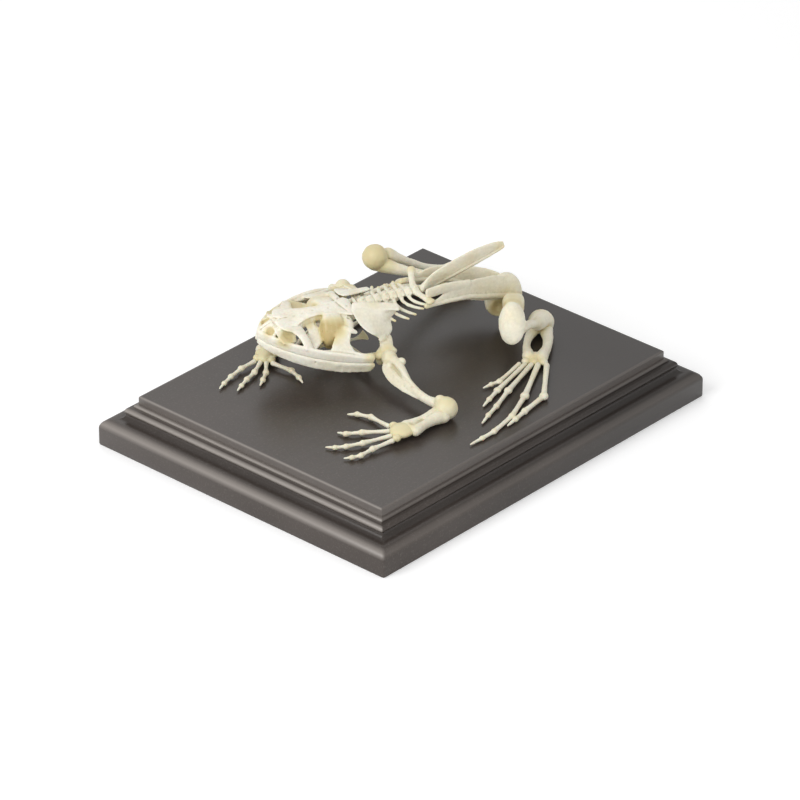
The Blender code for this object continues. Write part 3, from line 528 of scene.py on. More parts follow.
def makeToothTree(material):
    tree = bpy.data.node_groups.new("toothRow", "GeometryNodeTree")
    addSocket(tree, "Path", "INPUT", "Geometry")
    for label, value in teeth.items():
        addSocket(tree, label, "INPUT", "Int" if label == "Count" else "Float", value)
    addSocket(tree, "Teeth", "OUTPUT", "Geometry")
    take = tree.nodes.new("NodeGroupInput").outputs
    give = tree.nodes.new("NodeGroupOutput").inputs
    spots = addNode(tree, "GeometryNodeCurveToPoints", {"Curve": take["Path"], "Count": take["Count"]},
                    mode="COUNT")
    tooth = addNode(tree, "GeometryNodeMeshCone", {"Vertices": 7, "Side Segments": 2, "Radius Top": 0.05,
                                                   "Radius Bottom": take["Radius"], "Depth": take["Height"]})
    size = addNode(tree, "FunctionNodeRandomValue", {2: 0.75, 3: 1.1, "Seed": 4}, data_type="FLOAT")
    lean = addNode(tree, "FunctionNodeRandomValue", {2: -1, 3: 1, "Seed": 9}, data_type="FLOAT")
    tilt = mathNode(tree, "RADIANS", mathNode(tree, "MULTIPLY", lean.outputs[1], take["Lean"]))
    turn = addNode(tree, "ShaderNodeCombineXYZ", {0: pi, 1: tilt})
    row = addNode(tree, "GeometryNodeInstanceOnPoints",
                  {"Points": spots.outputs["Points"], "Instance": tooth.outputs["Mesh"],
                   "Rotation": turn.outputs[0], "Scale": size.outputs[1]})
    real = addNode(tree, "GeometryNodeRealizeInstances", {"Geometry": row.outputs[0]})
    done = addNode(tree, "GeometryNodeSetMaterial", {"Geometry": real.outputs[0], "Material": material})
    tree.links.new(done.outputs[0], give[0])
    return tree


def pathObject(name, points):
    data = bpy.data.curves.new(name, "CURVE")
    data.dimensions = "3D"
    spline = data.splines.new("POLY")
    spline.points.add(len(points) - 1)
    for point, place in zip(spline.points, points):
        point.co = (*place, 1)
    return link(name, data)


def makeTeeth():
    tree = makeToothTree(materials["pale_bone"])
    for name, s in sides.items():
        path = pathObject("toothPath", [jawPoint(s * a, 1.5, -0.15) for a in range(3, 76, 3)])
        row = path.modifiers.new("teeth", "NODES")
        row.node_group = tree
        for item in tree.interface.items_tree:
            if item.in_out == "INPUT" and item.name in teeth:
                row[item.identifier] = teeth[item.name]
        mesh = evaluated(path)
        mesh.transform(Matrix.Scale(mm, 4) @ head)
        for mask, value in (("relief", 0.4), ("gristle_and_shade", 0)):
            storeMask(mesh, mask, np.full(len(mesh.vertices), value))
        mesh.shade_smooth()
        piece = link("teeth_" + name, mesh)
        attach(piece, "root")


# the column, in the trunk's frame: x forward, z up
column = {  # span, sweep toward the head and drop of each process
    "left": ((7.2, 0.8, 1.4), (7.8, -0.8, 2.2), (9.6, -3.6, 3), (10.4, -5.6, 2.8), (9.4, -5.8, 2.4),
             (8.6, -6, 1.2), (8.4, -5.2, 0.2)),
    "right": ((7.2, 0.8, 1.4), (8.2, -0.4, 2.6), (9.6, -2.1, 1.6), (9.4, -1.6, 2.4), (9.3, -1, 1.8),
              (9.3, -1.3, 1.4), (8.6, 0.3, 1.7)),
    "wide": {"left": 0.62, "right": 0.8},
}


def vertebraBody(lump, x):
    half = (pose["vertebraPitch"] - 0.3) / 2
    front, back = x + half, x - half
    spindle(lump, [(front - 0.5, 0, 0, 1, 1), (x, 0, 0, 1.05, 1), (back + 0.5, 0, 0, 1.15, 1.15)])
    spindle(lump, [(front - 0.35, 0, 1.3, 1.9, 0.6), (x, 0, 1.6, 1.9, 0.7), (back + 0.35, 0, 1.6, 2, 0.6)],
            around=16)
    spindle(lump, [(front - 0.5, 0, 0.6, 1.5, 1), (back + 0.5, 0, 0.6, 1.5, 1)], around=16)
    spindle(lump, [(front - 0.7, 0, 2, 0.25, 0.35), (x - 0.2, 0, 2.45, 0.3, 0.45),
                   (back + 0.4, 0, 2.6, 0.25, 0.3)])
    for s in (1, -1):
        blob(lump, (front - 0.6, s * 1.75, 1.05), (0.75, 0.55, 0.4))
        blob(lump, (back + 0.5, s * 1.8, 1.45), (0.7, 0.6, 0.4))


def makeVertebrae():
    lump = bmesh.new()  # the first one has no processes
    spindle(lump, [(-0.1, 0, 0, 1.1, 1.1), (-0.9, 0, 0, 1.3, 1.3)])
    spindle(lump, [(-0.5, -2.6, 0.7, 0.65, 1.1), (-0.5, 0, 1.3, 0.7, 1), (-0.5, 2.6, 0.7, 0.65, 1.1)])
    makeBone("vertebra_1", lump, trunk, voxel=0.2)
    for number in range(1, pose["presacrals"]):
        lump = bmesh.new()
        x = -pose["vertebraPitch"] * number
        vertebraBody(lump, x)
        tips = []
        for name, s in sides.items():
            span, sweep, drop = column[name][number - 1]
            tip = (x + sweep, s * span, -drop)
            wide = column["wide"][name]
            spindle(lump, [(x, s * 1.2, 0.7, 1, 0.8), (x, s * span * 0.4, 0.4 - 0.25 * drop, wide, 0.55),
                           (x + 0.25 * sweep, s * span * 0.66, 0.2 - 0.6 * drop, wide, 0.55),
                           (x + 0.66 * sweep, s * span * 0.86, -0.86 * drop, 0.9 * wide, 0.5),
                           (*tip, 0.66 * wide, 0.4)])
            tips.append((tip, 1.6))
        makeBone("vertebra_%d" % (number + 1), lump, trunk, tips, voxel=0.2, rough=0.07, grain=1.2)


def sacralTip(s):
    return Vector((-pose["vertebraPitch"] * pose["presacrals"] - 2.6, s * 9.6, 2.2))


def makeSacrum():
    lump = bmesh.new()
    x = -pose["vertebraPitch"] * pose["presacrals"]
    vertebraBody(lump, x)
    for s in sides.values():
        spindle(lump, [(x, s * 1.2, 0.9, 1.4, 1.1), (x - 0.6, s * 3.6, 1.4, 1.15, 0.9),
                       (x - 1.4, s * 6.4, 1.9, 1.15, 0.9), (*sacralTip(s), 1.7, 1.1 - 0.2 * s)])
    makeBone("sacrum", lump, trunk, [(sacralTip(s), 2.6) for s in sides.values()], voxel=0.22)


# share of the way, half width and half height of the blade
urostyle = ((0.02, 1.3, 1.2), (0.08, 1, 2.4), (0.2, 0.7, 3.7), (0.45, 0.6, 4.2), (0.7, 0.6, 3.9),
            (0.9, 0.6, 2.8), (0.99, 0.5, 1.5))


def makeUrostyle():
    lump = bmesh.new()
    start = Vector((-pose["vertebraPitch"] * (pose["presacrals"] + 0.5) - 1, 0, 0.7))
    tip = trunk.inverted() @ onPlinth(pose["urostyleTip"])
    path = [start.lerp(tip, t) + lifted(max(0, h - 2.1) * 0.6) for t, w, h in urostyle]
    spindle(lump, [(*p, w, h) for p, (t, w, h) in zip(path, urostyle)], around=18)
    spindle(lump, [(*(p - lifted(h * 0.6)), 0.95, 0.8) for p, (t, w, h) in zip(path, urostyle)])
    for s in sides.values():
        blob(lump, start + Vector((-0.2, s * 0.9, 0)), (0.9, 0.8, 0.9))
    makeBone("urostyle", lump, trunk, [(tip, 5, 0.5)], voxel=0.25)


# shoulder plates and breast bones, in the trunk's frame
shoulder = {
    "left": {"ahead": 0, "size": 1, "low": 0}, "right": {"ahead": 3.2, "size": 0.7, "low": 1.5},
    "leaf": [(-6.2, 4.7, 3.3, 8.7), (-5.8, 6.4, 2.7, 9.2), (-5.4, 8.2, 1.7, 9.1), (-5.6, 10.6, -0.8, 7.8),
             (-6.6, 12.8, -3.2, 5.2), (-6.9, 14, -4.9, 3.2)],
    "neck": (-6.9, 14.9, -6.6), "start": (-6.5, 13.9, -4.5), "socket": (2.2, 0, -3.2),
    "breast": (5.6, 1.6, -16.4), "turn": (1.2, 8.6, -17),
}
breastPieces = {
    "omosternum": [(8.6, 0, -16.4, 0.45, 0.4), (11.6, 0, -15.9, 0.7, 0.4), (14, 0, -15.2, 2, 0.35)],
    "sternum": [(2.2, 0, -16.4, 0.8, 0.45), (-2, 0, -16.2, 0.8, 0.4), (-5.4, 0, -15.6, 3, 0.35)],
}


def shoulderPoint(part, s, ahead=0.0):
    x, y, z = shoulder[part]
    return Vector((ahead + x, s * y, z))


def makeShoulderPlate(name, s):
    ahead, size, low = shoulder[name].values()
    lump = bmesh.new()
    leaf = []
    for x, y, z, w in shoulder["leaf"]:
        leaf.append((ahead * (1 - 0.4 * (y > 13)) + x, s * y, z - low, w * size, 0.4))
    spindle(lump, leaf, up=(-0.16, 0, 1), around=24, square=0.75)
    makeBone("suprascapula_" + name, lump, trunk, [((ahead - 5.5, s * 4.5, 3.2), 3.4, 0.4)], voxel=0.26,
             material="pale_bone", swell=0.1, rough=0.05)


def makeScapula(name, s):
    ahead = shoulder[name]["ahead"]
    joint = trunk.inverted() @ onPlinth(pose["shoulder"][name])
    neck, start = shoulderPoint("neck", s, ahead * 0.3), shoulderPoint("start", s, ahead * 0.6)
    end = joint - (joint - neck).normalized() * 2.9
    lump = bmesh.new()
    spindle(lump, [(*start, 3.6, 0.5), (*neck, 2.6, 0.7), (*start.lerp(end, 0.7), 2.5, 1), (*end, 3.5, 1.7)],
            around=18)
    flare = end + Vector((3.6, s * 0.4, -1))
    spindle(lump, [(*neck.lerp(end, 0.35), 1.6, 0.8), (*neck.lerp(flare, 0.75), 1.7, 1), (*flare, 1.5, 1.3)])
    spindle(lump, [(*flare, 1.4, 1.4), (*end.lerp(flare, 0.5), 1.6, 1.6), (*end, 1.8, 1.8)])
    socket = end + shoulderPoint("socket", s)
    blob(lump, socket, (2.3, 1.8, 2.2))
    soft = [(spot, 3.6, 1.15) for spot in (end, end.lerp(flare, 0.5), flare, socket)]
    makeBone("scapula_" + name, lump, trunk, soft, voxel=0.24)
    return end


def makeCoracoid(name, s, end):
    breast, turn = shoulderPoint("breast", s), shoulderPoint("turn", s)
    low = end.lerp(breast, 0.12) + Vector((1.6, 0, -1.8))
    reach = Vector((2.6, 0, 0))
    lump = bmesh.new()
    for shift in (1.6, -1.6):  # collar bone and coracoid, joined at both ends
        side = Vector((shift, 0, 0))
        spindle(lump, [(*low, 1.6, 1.3), (*(low.lerp(turn, 0.55) + side * 0.6), 1, 0.8),
                       (*(turn + side), 0.9, 0.7), (*(breast + side * 1.3), 1.5, 0.6)])
    spindle(lump, [(*(breast + reach), 0.8, 0.6), (*(breast - reach), 0.8, 0.6)])
    makeBone("coracoid_" + name, lump, trunk, [(low, 3.6, 1.2)], voxel=0.22)


def makeBreastPieces():
    for name, rows in breastPieces.items():
        lump = bmesh.new()
        spindle(lump, rows, around=16)
        makeBone(name, lump, trunk, [(rows[-1][:3], 4.5)], voxel=0.22)


# upper arm, its offsets toward the crest
arm = {
    "shaft": ((0, 0, 2.3), (0.12, -0.1, 2), (0.22, 0.4, 1.8), (0.43, 2.5, 1.65), (0.63, 3, 1.6),
              (0.79, 2.3, 1.65), (0.92, 0.8, 2.2), (0.98, 0.1, 2.9)),
    "crest": ((0.03, 1.6, 0.8, 1.7), (0.1, 3.1, 0.7, 2.5), (0.22, 4.2, 0.6, 2.5), (0.35, 4.6, 0.55, 2.2),
              (0.5, 4.5, 0.55, 1.6), (0.66, 4, 0.6, 0.9)),
    "web": ((0.06, 1.4, 1.1, 1.6), (0.2, 2.2, 0.9, 2.4), (0.4, 3.4, 0.8, 1.6)),
    "head": (2.9, 3, 2.9), "elbow": (4.2, 4.4, 4.2), "knob": (2.1, 2, 2.1),
}


def makeHumerus(name, s):
    top, low = onPlinth(pose["shoulder"][name]), onPlinth(pose["elbow"][name])
    along = (low - top).normalized()
    bow = (along.cross(lifted(1)).normalized() * s + lifted(-0.5)).normalized()
    lump = bmesh.new()
    spindle(lump, rowsBetween(top, low, arm["shaft"], bow), around=16)
    spindle(lump, rowsBetween(top, low, arm["crest"], bow), up=bow, around=16)
    spindle(lump, rowsBetween(top, low, arm["web"], bow), up=bow, around=14)
    blob(lump, top, arm["head"])
    blob(lump, top.lerp(low, 0.15) - bow * 2, (1.5, 1.6, 1.5))
    blob(lump, low - lifted(0.5), arm["elbow"])
    lean = along.cross(bow).normalized()
    for k in (1, -1):
        blob(lump, low - along * 3.0 + lean * (1.3 * k), arm["knob"])
    pits = [(top.lerp(low, 0.02 * i) + bow * (2.2 + 0.05 * i) + lifted(1.3), 1.5, 0.3) for i in range(6, 28)]
    gristle_and_shade = [(top, 4), (low + along * 0.4 + lifted(1), 6, 0.85)]
    makeBone("humerus_" + name, lump, world, gristle_and_shade, pits)


# forearm: two bars grown into one
forearm = {"bars": ((0, 1.2, 2.5), (0.3, 1.1, 2), (0.65, 1.6, 1.75), (1, 2.7, 1.9)),
           "elbow": (3.4, 4.3, 2.8), "web": (4.6, 1.9, 1.5), "wrist": (2, 4.3, 1.9)}


def makeRadioulna(name):
    elbow, wrist = onPlinth(pose["elbow"][name]), onPlinth(pose["wrist"][name])
    elbow.z = wrist.z
    along = (wrist - elbow).normalized()
    across = along.cross(lifted(1))
    start, end = elbow + along * 4.4, wrist - along * 1.8
    lump = bmesh.new()
    for k in (1, -1):
        spindle(lump, rowsBetween(start, end, forearm["bars"], across * k))
    turn = turnToward(along)
    blob(lump, start - along * 1.3 - lifted(0.2), forearm["elbow"], turn)
    blob(lump, start.lerp(end, 0.5), forearm["web"], turn)
    blob(lump, end + along * 0.2, forearm["wrist"], turn)
    pits = [(start.lerp(end, 0.04 * i) + lifted(1.7), 1.3, 0.28) for i in range(13, 25)]
    makeBone("radioulna_" + name, lump, world, [(end + along, 4.2), (start - along, 4.2)], pits, voxel=0.24)


# a digit's joints come down from the wrist or ankle and then lie on the plinth
def digitJoints(start, turns, lengths, radius):
    joints = [Vector(start)]
    total, done = sum(lengths), 0.0
    for number, (turn, length) in enumerate(zip(turns, lengths)):
        done += length
        step = joints[-1] + heading(turn) * length
        rest = plinthTop + 0.3 + radius * (1.0 - 0.12 * (number + 1))
        step.z = max(rest, joints[0].z + (rest - joints[0].z) * min(1, 1.3 * done / total))
        joints.append(step)
    joints[-1].z = plinthTop + 0.3 + radius * 0.4
    return joints


def makeDigit(node, joints, radius, waist, swollen=1.0):
    neck = 0.4 + 0.5 * waist
    shaft = ((0, 0.8), (0.14, neck), (0.38, waist), (0.62, waist - 0.04), (0.85, neck), (1, 0.86))
    tip = ((0, 0.75), (0.2, 0.3 + 0.5 * waist), (0.5, 0.86 * waist), (0.8, 0.64 * waist), (0.97, 0.5 * waist))
    lump = bmesh.new()
    soft = []
    for number, (a, b) in enumerate(zip(joints, joints[1:])):
        thick = radius * (1.0 - 0.1 * number)
        last = number == len(joints) - 2
        length = (b - a).length
        inset = min(0.5, 0.08 * length)
        first, second = a.lerp(b, inset / length), b.lerp(a, inset / length)
        rows = [(*first.lerp(second, t), thick * r, thick * r) for t, r in (tip if last else shaft)]
        spindle(lump, rows, steps=4, around=10)
        if not last:
            knob = swollen if number == 0 else 1.0
            blob(lump, b, (1.15 * thick * knob, 1.0 * thick * knob, 0.95 * thick), turnToward(b - a))
            soft.append((b, 1.8, 0.45))
    makeBone(node, lump, world, soft, voxel=0.17, relax=4, swell=0.04, rough=0.05, grain=1)


hand = {
    "spread": {"left": 10, "right": 6.4}, "radius": 1.2, "waist": 0.62,
    "bends": {"left": ((-57, -36, -18), (-7, -4, -37), (16, 9, -3, -19), (29, 36, 11, -6)),
              "right": ((68, 44, 36), (12, 0, -4), (-4, -18, -12, -12), (-32, -22, -16, -12))},
    "lengths": {"left": ((10.2, 5.6, 3.9), (10.3, 5.8, 3.7), (11.3, 6.3, 4, 3.8), (9.2, 5.7, 3.4, 3.1)),
                "right": ((8.8, 5.2, 3.7), (7, 4.8, 3.7), (7.6, 5.4, 4.6, 3.6), (7.2, 6.4, 5, 4.1))},
}


def makeHand(name, s):
    wrist = onPlinth(pose["wrist"][name])
    facing = pose["handHeading"][name]
    along, across = heading(facing), heading(facing + 90 * s)
    spread = hand["spread"][name]
    lump = bmesh.new()
    blob(lump, wrist + along * 1.9, (4.4, spread * 0.44, 2.1), turnToward(along))
    for row, (reach, width, count) in enumerate(((1, 5.4, 3), (4.2, spread - 1, 4))):
        for i in range(count):
            spot = wrist + along * reach + across * (width * (i / (count - 1) - 0.5)) + lifted(-0.3 * row)
            blob(lump, spot, (1.6, 1.5, 1.3), turnToward(along))
    makeBone("carpus_" + name, lump, world, [(wrist + along * 2.5, 9)], voxel=0.22, relax=14,
             material="cartilage")
    for number, (bends, lengths) in enumerate(zip(hand["bends"][name], hand["lengths"][name])):
        start = wrist + along * 5.6 + across * (spread * (number / 3 - 0.5)) + lifted(-1)
        joints = digitJoints(start, [facing + bend for bend in bends], lengths, hand["radius"])
        makeDigit("finger_%d_%s" % (number + 1, name), joints, hand["radius"], hand["waist"])


# pelvis: a disc of shifted and scaled rings, and two blades whose stations are share, half height and rise
pelvis = {
    "radius": 7.9, "bulge": 0.1, "bulgeTurn": 300, "upper": 1.4, "around": 40,
    "disc": ((-1.4, 0.72), (-0.9, 0.93), (0, 0.98), (0.9, 0.93), (1.4, 0.72)),
    "ahead": {"left": 1.4, "right": 5},
    "blade": ((0.01, 0.8, 0), (0.15, 1.1, 0), (0.35, 3, 1), (0.6, 4, 1.5), (0.8, 4.7, 1.3),
              (0.92, 5, 1.5), (1.02, 4.9, 1.3), (1.12, 4.4, 0.9), (1.2, 3.2, 0.5), (1.26, 1.6, 0.2)),
}


def makeDisc(centre, forward, left):
    lump = bmesh.new()
    rings = []
    for shift, scale in pelvis["disc"]:
        ring = []
        for i in range(pelvis["around"]):
            turn = 2 * pi * i / pelvis["around"]
            swing = turn - radians(pelvis["bulgeTurn"])
            reach = scale * pelvis["radius"] * (1 + pelvis["bulge"] * cos(swing))
            tall = pelvis["upper"] if turn < pi else 1.0
            ring.append(lump.verts.new(centre + left * shift + forward * (cos(turn) * reach)
                                       + lifted(sin(turn) * reach * tall)))
        rings.append(ring)
    closeRings(lump, rings)
    bmesh.ops.recalc_face_normals(lump, faces=lump.faces)
    corner = centre + forward * 3.0 - lifted(3.5)
    gristle_and_shade = [(centre - lifted(5), 9, 1.1), (corner, 6, 1.8)]
    pits = [(corner + left * (1.6 * k), 3.6, 0.8) for k in (1, -1)]
    makeBone("ischium_pubis", lump, world, gristle_and_shade, pits, voxel=0.26)


def makePelvis():
    centre = onPlinth(pose["discPlace"])
    forward, left = heading(pose["pelvisYaw"]), heading(pose["pelvisYaw"] + 90)
    makeDisc(centre, forward, left)
    for name, s in sides.items():
        hold = trunk @ (sacralTip(s) + Vector((0, -1.6 * s, -2.6)))
        front = hold + forward * pelvis["ahead"][name]
        hip = centre + left * (s * 2.7) + forward * 5.4 + lifted(4.6)
        bow = left * (s * 1.3) + lifted(2)
        path, blade, edge = [], [], []
        for t, high, rise in pelvis["blade"]:
            spot = front.lerp(hip, t) + bow * sin(pi * t) + lifted(rise)
            thick = 0.9 + 0.4 * t
            path.append(spot)
            blade.append((*spot, 0.4 + 0.3 * t, high))
            edge.append((*(spot - lifted(0.62 * high)), thick, thick))
        lump = bmesh.new()
        spindle(lump, blade, around=18)
        spindle(lump, edge)
        if s > 0:  # a second bar above the near blade's front
            upper = (front - forward * 0.6 + lifted(4.6), path[1].lerp(path[2], 0.5) + lifted(4.2),
                     path[3] + lifted(2.4))
            spindle(lump, [(*p, 0.7, 2.1) for p in upper])
        makeBone("ilium_" + name, lump, world, [(path[-1], 4.6, 0.6), (path[0], 2.6)], voxel=0.25)


# thigh and shin: the rise lifts the end above or below the knee's centre
thigh = {
    "shaft": ((0, 2.4), (0.08, 2), (0.2, 1.7), (0.4, 1.55), (0.6, 1.6), (0.78, 2), (0.92, 2.8), (1, 3.1)),
    "box": ((0.06, 0, 3.6), (0.2, 0, 4), (0.36, 0, 3.6), (0.52, 0, 2.2)), "head": (2.8, 3.9, 3.1),
    "rise": {"left": 2.6, "right": -2.3}, "cap": {"left": (4.1, 4.8, 6.8), "right": (4.8, 4.8, 4.8)},
    "nearCap": (4.4, 4.9, 7.9), "nubs": ((4.3, 0.8, 1.1), (4.5, -1.4, 0.9)),
}
shin = {
    "shaft": ((0.01, 2.6, 2.2), (0.08, 2.6, 2.1), (0.22, 2.1, 1.75), (0.5, 1.8, 1.5), (0.74, 2.3, 1.8),
              (0.86, 3.2, 2.8), (0.95, 4.2, 4), (1, 4.4, 4.2)),
    "heel": (4.2, 4.9, 4.6), "hollow": (-2.6, -3.2, -0.6), "rise": {"left": -3.6, "right": 2.9},
    "start": {"left": 5.2, "right": 6.6}, "bow": {"left": 0.8, "right": -2.2},
}


def makeFemur(name):
    hip, bend = onPlinth(pose["hip"][name]), onPlinth(pose["knee"][name])
    along = (bend - hip).normalized()
    turn = turnToward(along)
    start = hip + along * 1.2
    top = bend + lifted(thigh["rise"][name])
    sway = along.cross(lifted(1)).normalized()
    lump = bmesh.new()
    shaft = [(*(start.lerp(top, t) + sway * (1.2 * sin(2 * pi * t))), r, r)
             for t, r in thigh["shaft"]]
    spindle(lump, shaft, around=16)
    blob(lump, start, thigh["head"], turn)
    spindle(lump, rowsBetween(start, top, thigh["box"], sway), around=16, square=0.6)
    blob(lump, bend, thigh["cap"][name], turn)
    # painted shade: the upper thigh, seen end-on behind the knee, is tanned past full gristle
    gristle_and_shade = [(start.lerp(top, t), 6.4, 1.5) for t in (0.05, 0.17, 0.29, 0.41)]
    if name == "left":
        for y, z, r in thigh["nubs"]:
            blob(lump, bend + turn @ Vector((-0.6, y, z)), r)
        blob(lump, bend + lifted(0.7), thigh["nearCap"], turn)
    else:
        gristle_and_shade.append((bend, 10, 1.3))
    makeBone("femur_" + name, lump, world, gristle_and_shade, voxel=0.3, rough=0.14, grain=3)


def makeTibiofibula(name):
    top = onPlinth(pose["knee"][name]) + lifted(shin["rise"][name])
    heel = onPlinth(pose["heel"][name])
    along = (heel - top).normalized()
    start, end = top + along * shin["start"][name], heel - along * 1.5

    def middle(t):
        return start.lerp(end, t) + lifted(shin["bow"][name] * sin(pi * t))

    lump = bmesh.new()
    spindle(lump, [(*middle(t), w, h) for t, w, h in shin["shaft"]], around=18)
    blob(lump, heel + lifted(-0.1), shin["heel"], turnToward(along))
    hollow = heel + Vector(shin["hollow"])
    pits = [(hollow, 3.4, 1.6)]
    for i in (*range(3, 9), *range(17, 25)):
        pits += [(middle(0.04 * i) + lifted(1.8 * k), 1.1, 0.35) for k in (1, -1)]
    # painted shade: the heel's hollow is tanned past full gristle
    makeBone("tibiofibula_" + name, lump, world, [(start, 3.2), (hollow, 3.9, 1.6)], pits)


foot = {  # bars: share of the way, distance from the middle, half width; toes: bends, lengths, shift, radius
    "length": 28.4, "spread": {"left": 1, "right": 0.6},
    "bars": {-1: ((0, 2.4, 2.3), (0.14, 2.9, 2), (0.3, 3.6, 1.6), (0.5, 3.9, 1.35), (0.7, 3.7, 1.5),
                  (0.88, 2.9, 2), (1, 2.5, 2.3)),
             1: ((0, 2.4, 2.4), (0.14, 2.8, 2.3), (0.3, 3.4, 2), (0.5, 3.7, 1.8), (0.7, 3.5, 1.8),
                 (0.88, 2.8, 2.1), (1, 2.4, 2.4))},
    "toes": (((-25, -53, -49), (14.6, 3.6, 3.8), -5.4, 1.05), ((-23, -20, -21), (21.7, 6.9, 5.3), -3.3, 1.15),
             ((-19, -16, -20, -17), (21.1, 11.9, 6.9, 6.3), -0.95, 1.25),
             ((-7, -13, -26, -37, -39), (23.6, 15.1, 12.4, 6.4, 6.6), 1.4, 1.4),
             ((2, -28, -26, -28), (22.6, 12.8, 6.4, 5.7), 4.6, 1.4)),
}


def makeFoot(name, s):
    start = onPlinth(pose["footStart"][name])
    facing = pose["footHeading"][name]
    along, across = heading(facing), heading(facing + 90 * s)
    length = foot["length"]
    lump = bmesh.new()
    for lean, stations in foot["bars"].items():
        rows = []
        for part, spread, r in stations:
            rows.append((*(start + along * (5.2 + part * (length - 7.6)) + across * (lean * spread)), r, r))
        spindle(lump, rows)
    for reach, wide in ((5.6, 1.6), (length - 2.6, 2.6)):
        spot = start + along * reach
        spindle(lump, [(*(spot + across * k), wide - abs(k) * 0.15, 1.4) for k in (-2.8, 0, 2.8)])
    for i in range(3):
        blob(lump, start + along * (length + 0.2) + across * (3.2 * (i - 1)) + lifted(-0.5), (1.6, 1.7, 1.3))
    gristle_and_shade = [(start + along * 9, 4), (start + along * (length + 0.5), 4.6, 1.15)]
    makeBone("tarsus_" + name, lump, world, gristle_and_shade, voxel=0.26)
    for number, (bends, lengths, shift, radius) in enumerate(foot["toes"]):
        root = start + along * (length + 1.8) + across * shift + lifted(-0.8)
        turns = [pose["toeHeading"][name] + bend * s * foot["spread"][name] for bend in bends]
        makeDigit("toe_%d_%s" % (number + 1, name), digitJoints(root, turns, lengths, 1.1), radius, 0.7, 1.2)


# the plinth's moulding, from the foot to the flat top, as inset and height
# an arc is its centre, half sizes, start and end angle, and count of points
# painted shade and painted highlight are set against inset * lean + height; the highlight is strongest on the
# head's end, the side toward the key lamp
moulding = {
    "length": 176, "depth": 141, "rim": 11.7, "foot": [(0.5, 0), (0.1, 0.15), (0, 0.5), (0, 3.5)],
    "arcs": {"nose": (4.3, 6.9, 4.3, 3.4, 0, 90, 16), "cove": (4.9, 12.5, 2.3, 2.2, -90, -180, 9),
             "roll": (8.3, 13.4, 1.45, 1.45, -35, 90, 13), "bead": (10.15, 15.3, 0.9, 0.9, -14, 90, 8),
             "riser": (10.6, 17.5, 0, 1.25, -90, 90, 9), "edge": (11.2, 19, 0.6, 0.5, 0, 90, 6)},
    "corner": {"nose": 0.9, "above": 0.4}, "noseEnd": 4, "lean": 0.77,
    "shade": [(7, 0), (9, 0.15), (11, 0.1), (13, -0.1), (14.9, -0.4), (17.4, -0.35), (19.5, -0.1),
              (20.9, -0.1), (21.9, -0.4), (22.6, 0), (23.6, 0.25), (26.8, 0.2), (27.8, 0.25), (28.4, 0)],
    "painted_highlight": [(7, 0), (9.2, 0.65), (10.9, 0.4), (12.9, 0), (17.6, 0), (19.3, 1.1), (20.5, 0.6), (21.6, 0),
            (22.9, 0.85), (23.8, 0.3), (24.6, 0), (27, 0), (27.8, 0.6), (28.4, 0)],
}


def mouldingProfile():
    steps = list(moulding["foot"])
    for inset, height, across, up, start, stop, count in moulding["arcs"].values():
        for i in range(count):
            t = radians(start + (stop - start) * i / (count - 1))
            steps.append((inset - across * cos(t), height + up * sin(t)))
    return steps + [(moulding["rim"], plinthTop)]


# points of one level with rounded corners, and the way that each one faces
def levelPoints(inset, height):
    x, y = moulding["length"] / 2 - inset, moulding["depth"] / 2 - inset
    soft = moulding["corner"]["nose" if inset < moulding["noseEnd"] else "above"]
    for cx, cy, turn in ((x, y, 0), (-x, y, 90), (-x, -y, 180), (x, -y, 270)):
        centre = Vector((cx - copysign(soft, cx), cy - copysign(soft, cy), height))
        for facing in (turn, turn + 45, turn + 90):
            yield centre + heading(facing) * soft, facing


def makePlinth():
    shell = bmesh.new()
    rings, painted_light = [], []
    for inset, height in mouldingProfile():
        level = height + moulding["lean"] * inset
        shade, painted_highlight = (float(np.interp(level, *zip(*moulding[part]))) for part in ("shade", "painted_highlight"))
        ring = []
        for point, facing in levelPoints(inset, height):
            ring.append(shell.verts.new(point))
            # painted shade in the hollows, and painted highlight strongest where the side faces the head's
            # end
            painted_light.append(shade + painted_highlight * (0.5 - 0.5 * cos(radians(facing))) ** 3)
        rings.append(ring)
    closeRings(shell, rings)
    shell.transform(Matrix.Scale(mm, 4))
    mesh = bpy.data.meshes.new("plinth_skin")
    shell.to_mesh(mesh)
    shell.free()
    mesh.shade_smooth()
    mesh.set_sharp_from_angle(angle=radians(42))
    storeMask(mesh, "painted_light", np.array(painted_light))
    mesh.materials.append(materials["lacquered_wood"])
    piece = link("plinth_skin", mesh)
    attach(piece, "root")
    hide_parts("base_plinth")


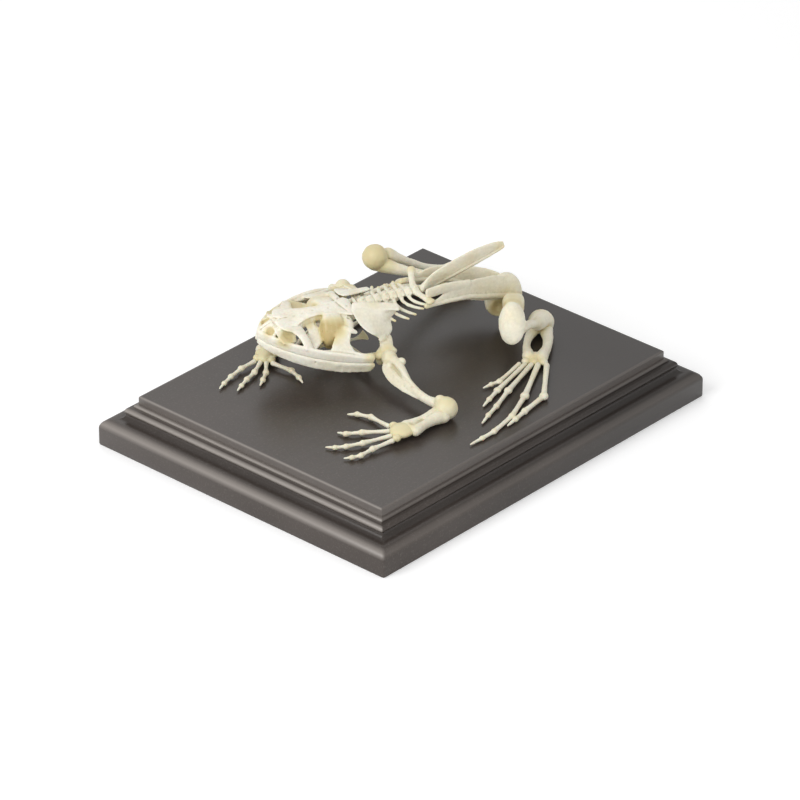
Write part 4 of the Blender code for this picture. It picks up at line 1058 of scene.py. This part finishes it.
makePlinth()
print("plinth done")
makeSkull()
makeMandibles()
makeTeeth()
print("skull done")
makeVertebrae()
makeSacrum()
makeUrostyle()
for sideName, sideSign in sides.items():
    makeShoulderPlate(sideName, sideSign)
    makeCoracoid(sideName, sideSign, makeScapula(sideName, sideSign))
makeBreastPieces()
makePelvis()
print("trunk done")
for sideName, sideSign in sides.items():
    makeHumerus(sideName, sideSign)
    makeRadioulna(sideName)
    makeHand(sideName, sideSign)
    makeFemur(sideName)
    makeTibiofibula(sideName)
    makeFoot(sideName, sideSign)
print("limbs done")


# floor, light and camera, in metres: a lamp is its place, size and power
studio = {"half": 4, "aim": (0, 0, 0.02), "sky": {"Color": (1, 1, 1, 1), "Strength": 0.6},
          "floor": {"Base Color": (0.95, 0.95, 0.95, 1), "Roughness": 0.9,
                    "Emission Color": (0.95, 0.95, 0.95, 1), "Emission Strength": 0.22},
          "lights": {"key": ((-0.75, 0.05, 0.62), 0.5, 3.8), "fill": ((-0.55, -0.8, 0.6), 0.9, 2.2),
                     "back": ((0.5, 0.6, 0.6), 0.6, 0.8)}}
camera = {"place": (-1.4197, -1.2849, 1.0987), "target": (-0.01532, -0.0124, 0.0195), "lens": 270}


def setUp(name, data, place, target):
    item = bpy.data.objects.new(name, data)
    item.location = place
    item.rotation_euler = (Vector(target) - Vector(place)).to_track_quat("-Z", "Y").to_euler()
    bpy.context.scene.collection.objects.link(item)
    return item


def setNode(tree, name, values):
    for label, value in values.items():
        tree.nodes[name].inputs[label].default_value = value


def makeStudio():
    bpy.context.scene.view_settings.view_transform = "Standard"
    half = studio["half"]
    mesh = bpy.data.meshes.new("floor")
    corners = [(-half, -half, 0), (half, -half, 0), (half, half, 0), (-half, half, 0)]
    mesh.from_pydata(corners, [], [(0, 1, 2, 3)])
    made = bpy.data.materials.new("floor")
    made.use_nodes = True
    setNode(made.node_tree, "Principled BSDF", studio["floor"])
    mesh.materials.append(made)
    link("floor", mesh)
    sky = bpy.data.worlds.new("sky")
    bpy.context.scene.world = sky
    sky.use_nodes = True
    setNode(sky.node_tree, "Background", studio["sky"])
    for name, (place, size, power) in studio["lights"].items():
        lamp = bpy.data.lights.new(name, "AREA")
        lamp.size, lamp.energy = size, power
        setUp(name, lamp, place, studio["aim"])
    data = bpy.data.cameras.new("camera")
    data.lens, data.sensor_width, data.clip_end = camera["lens"], 36, 10
    bpy.context.scene.camera = setUp("camera", data, camera["place"], camera["target"])


makeStudio()
print("scene done")
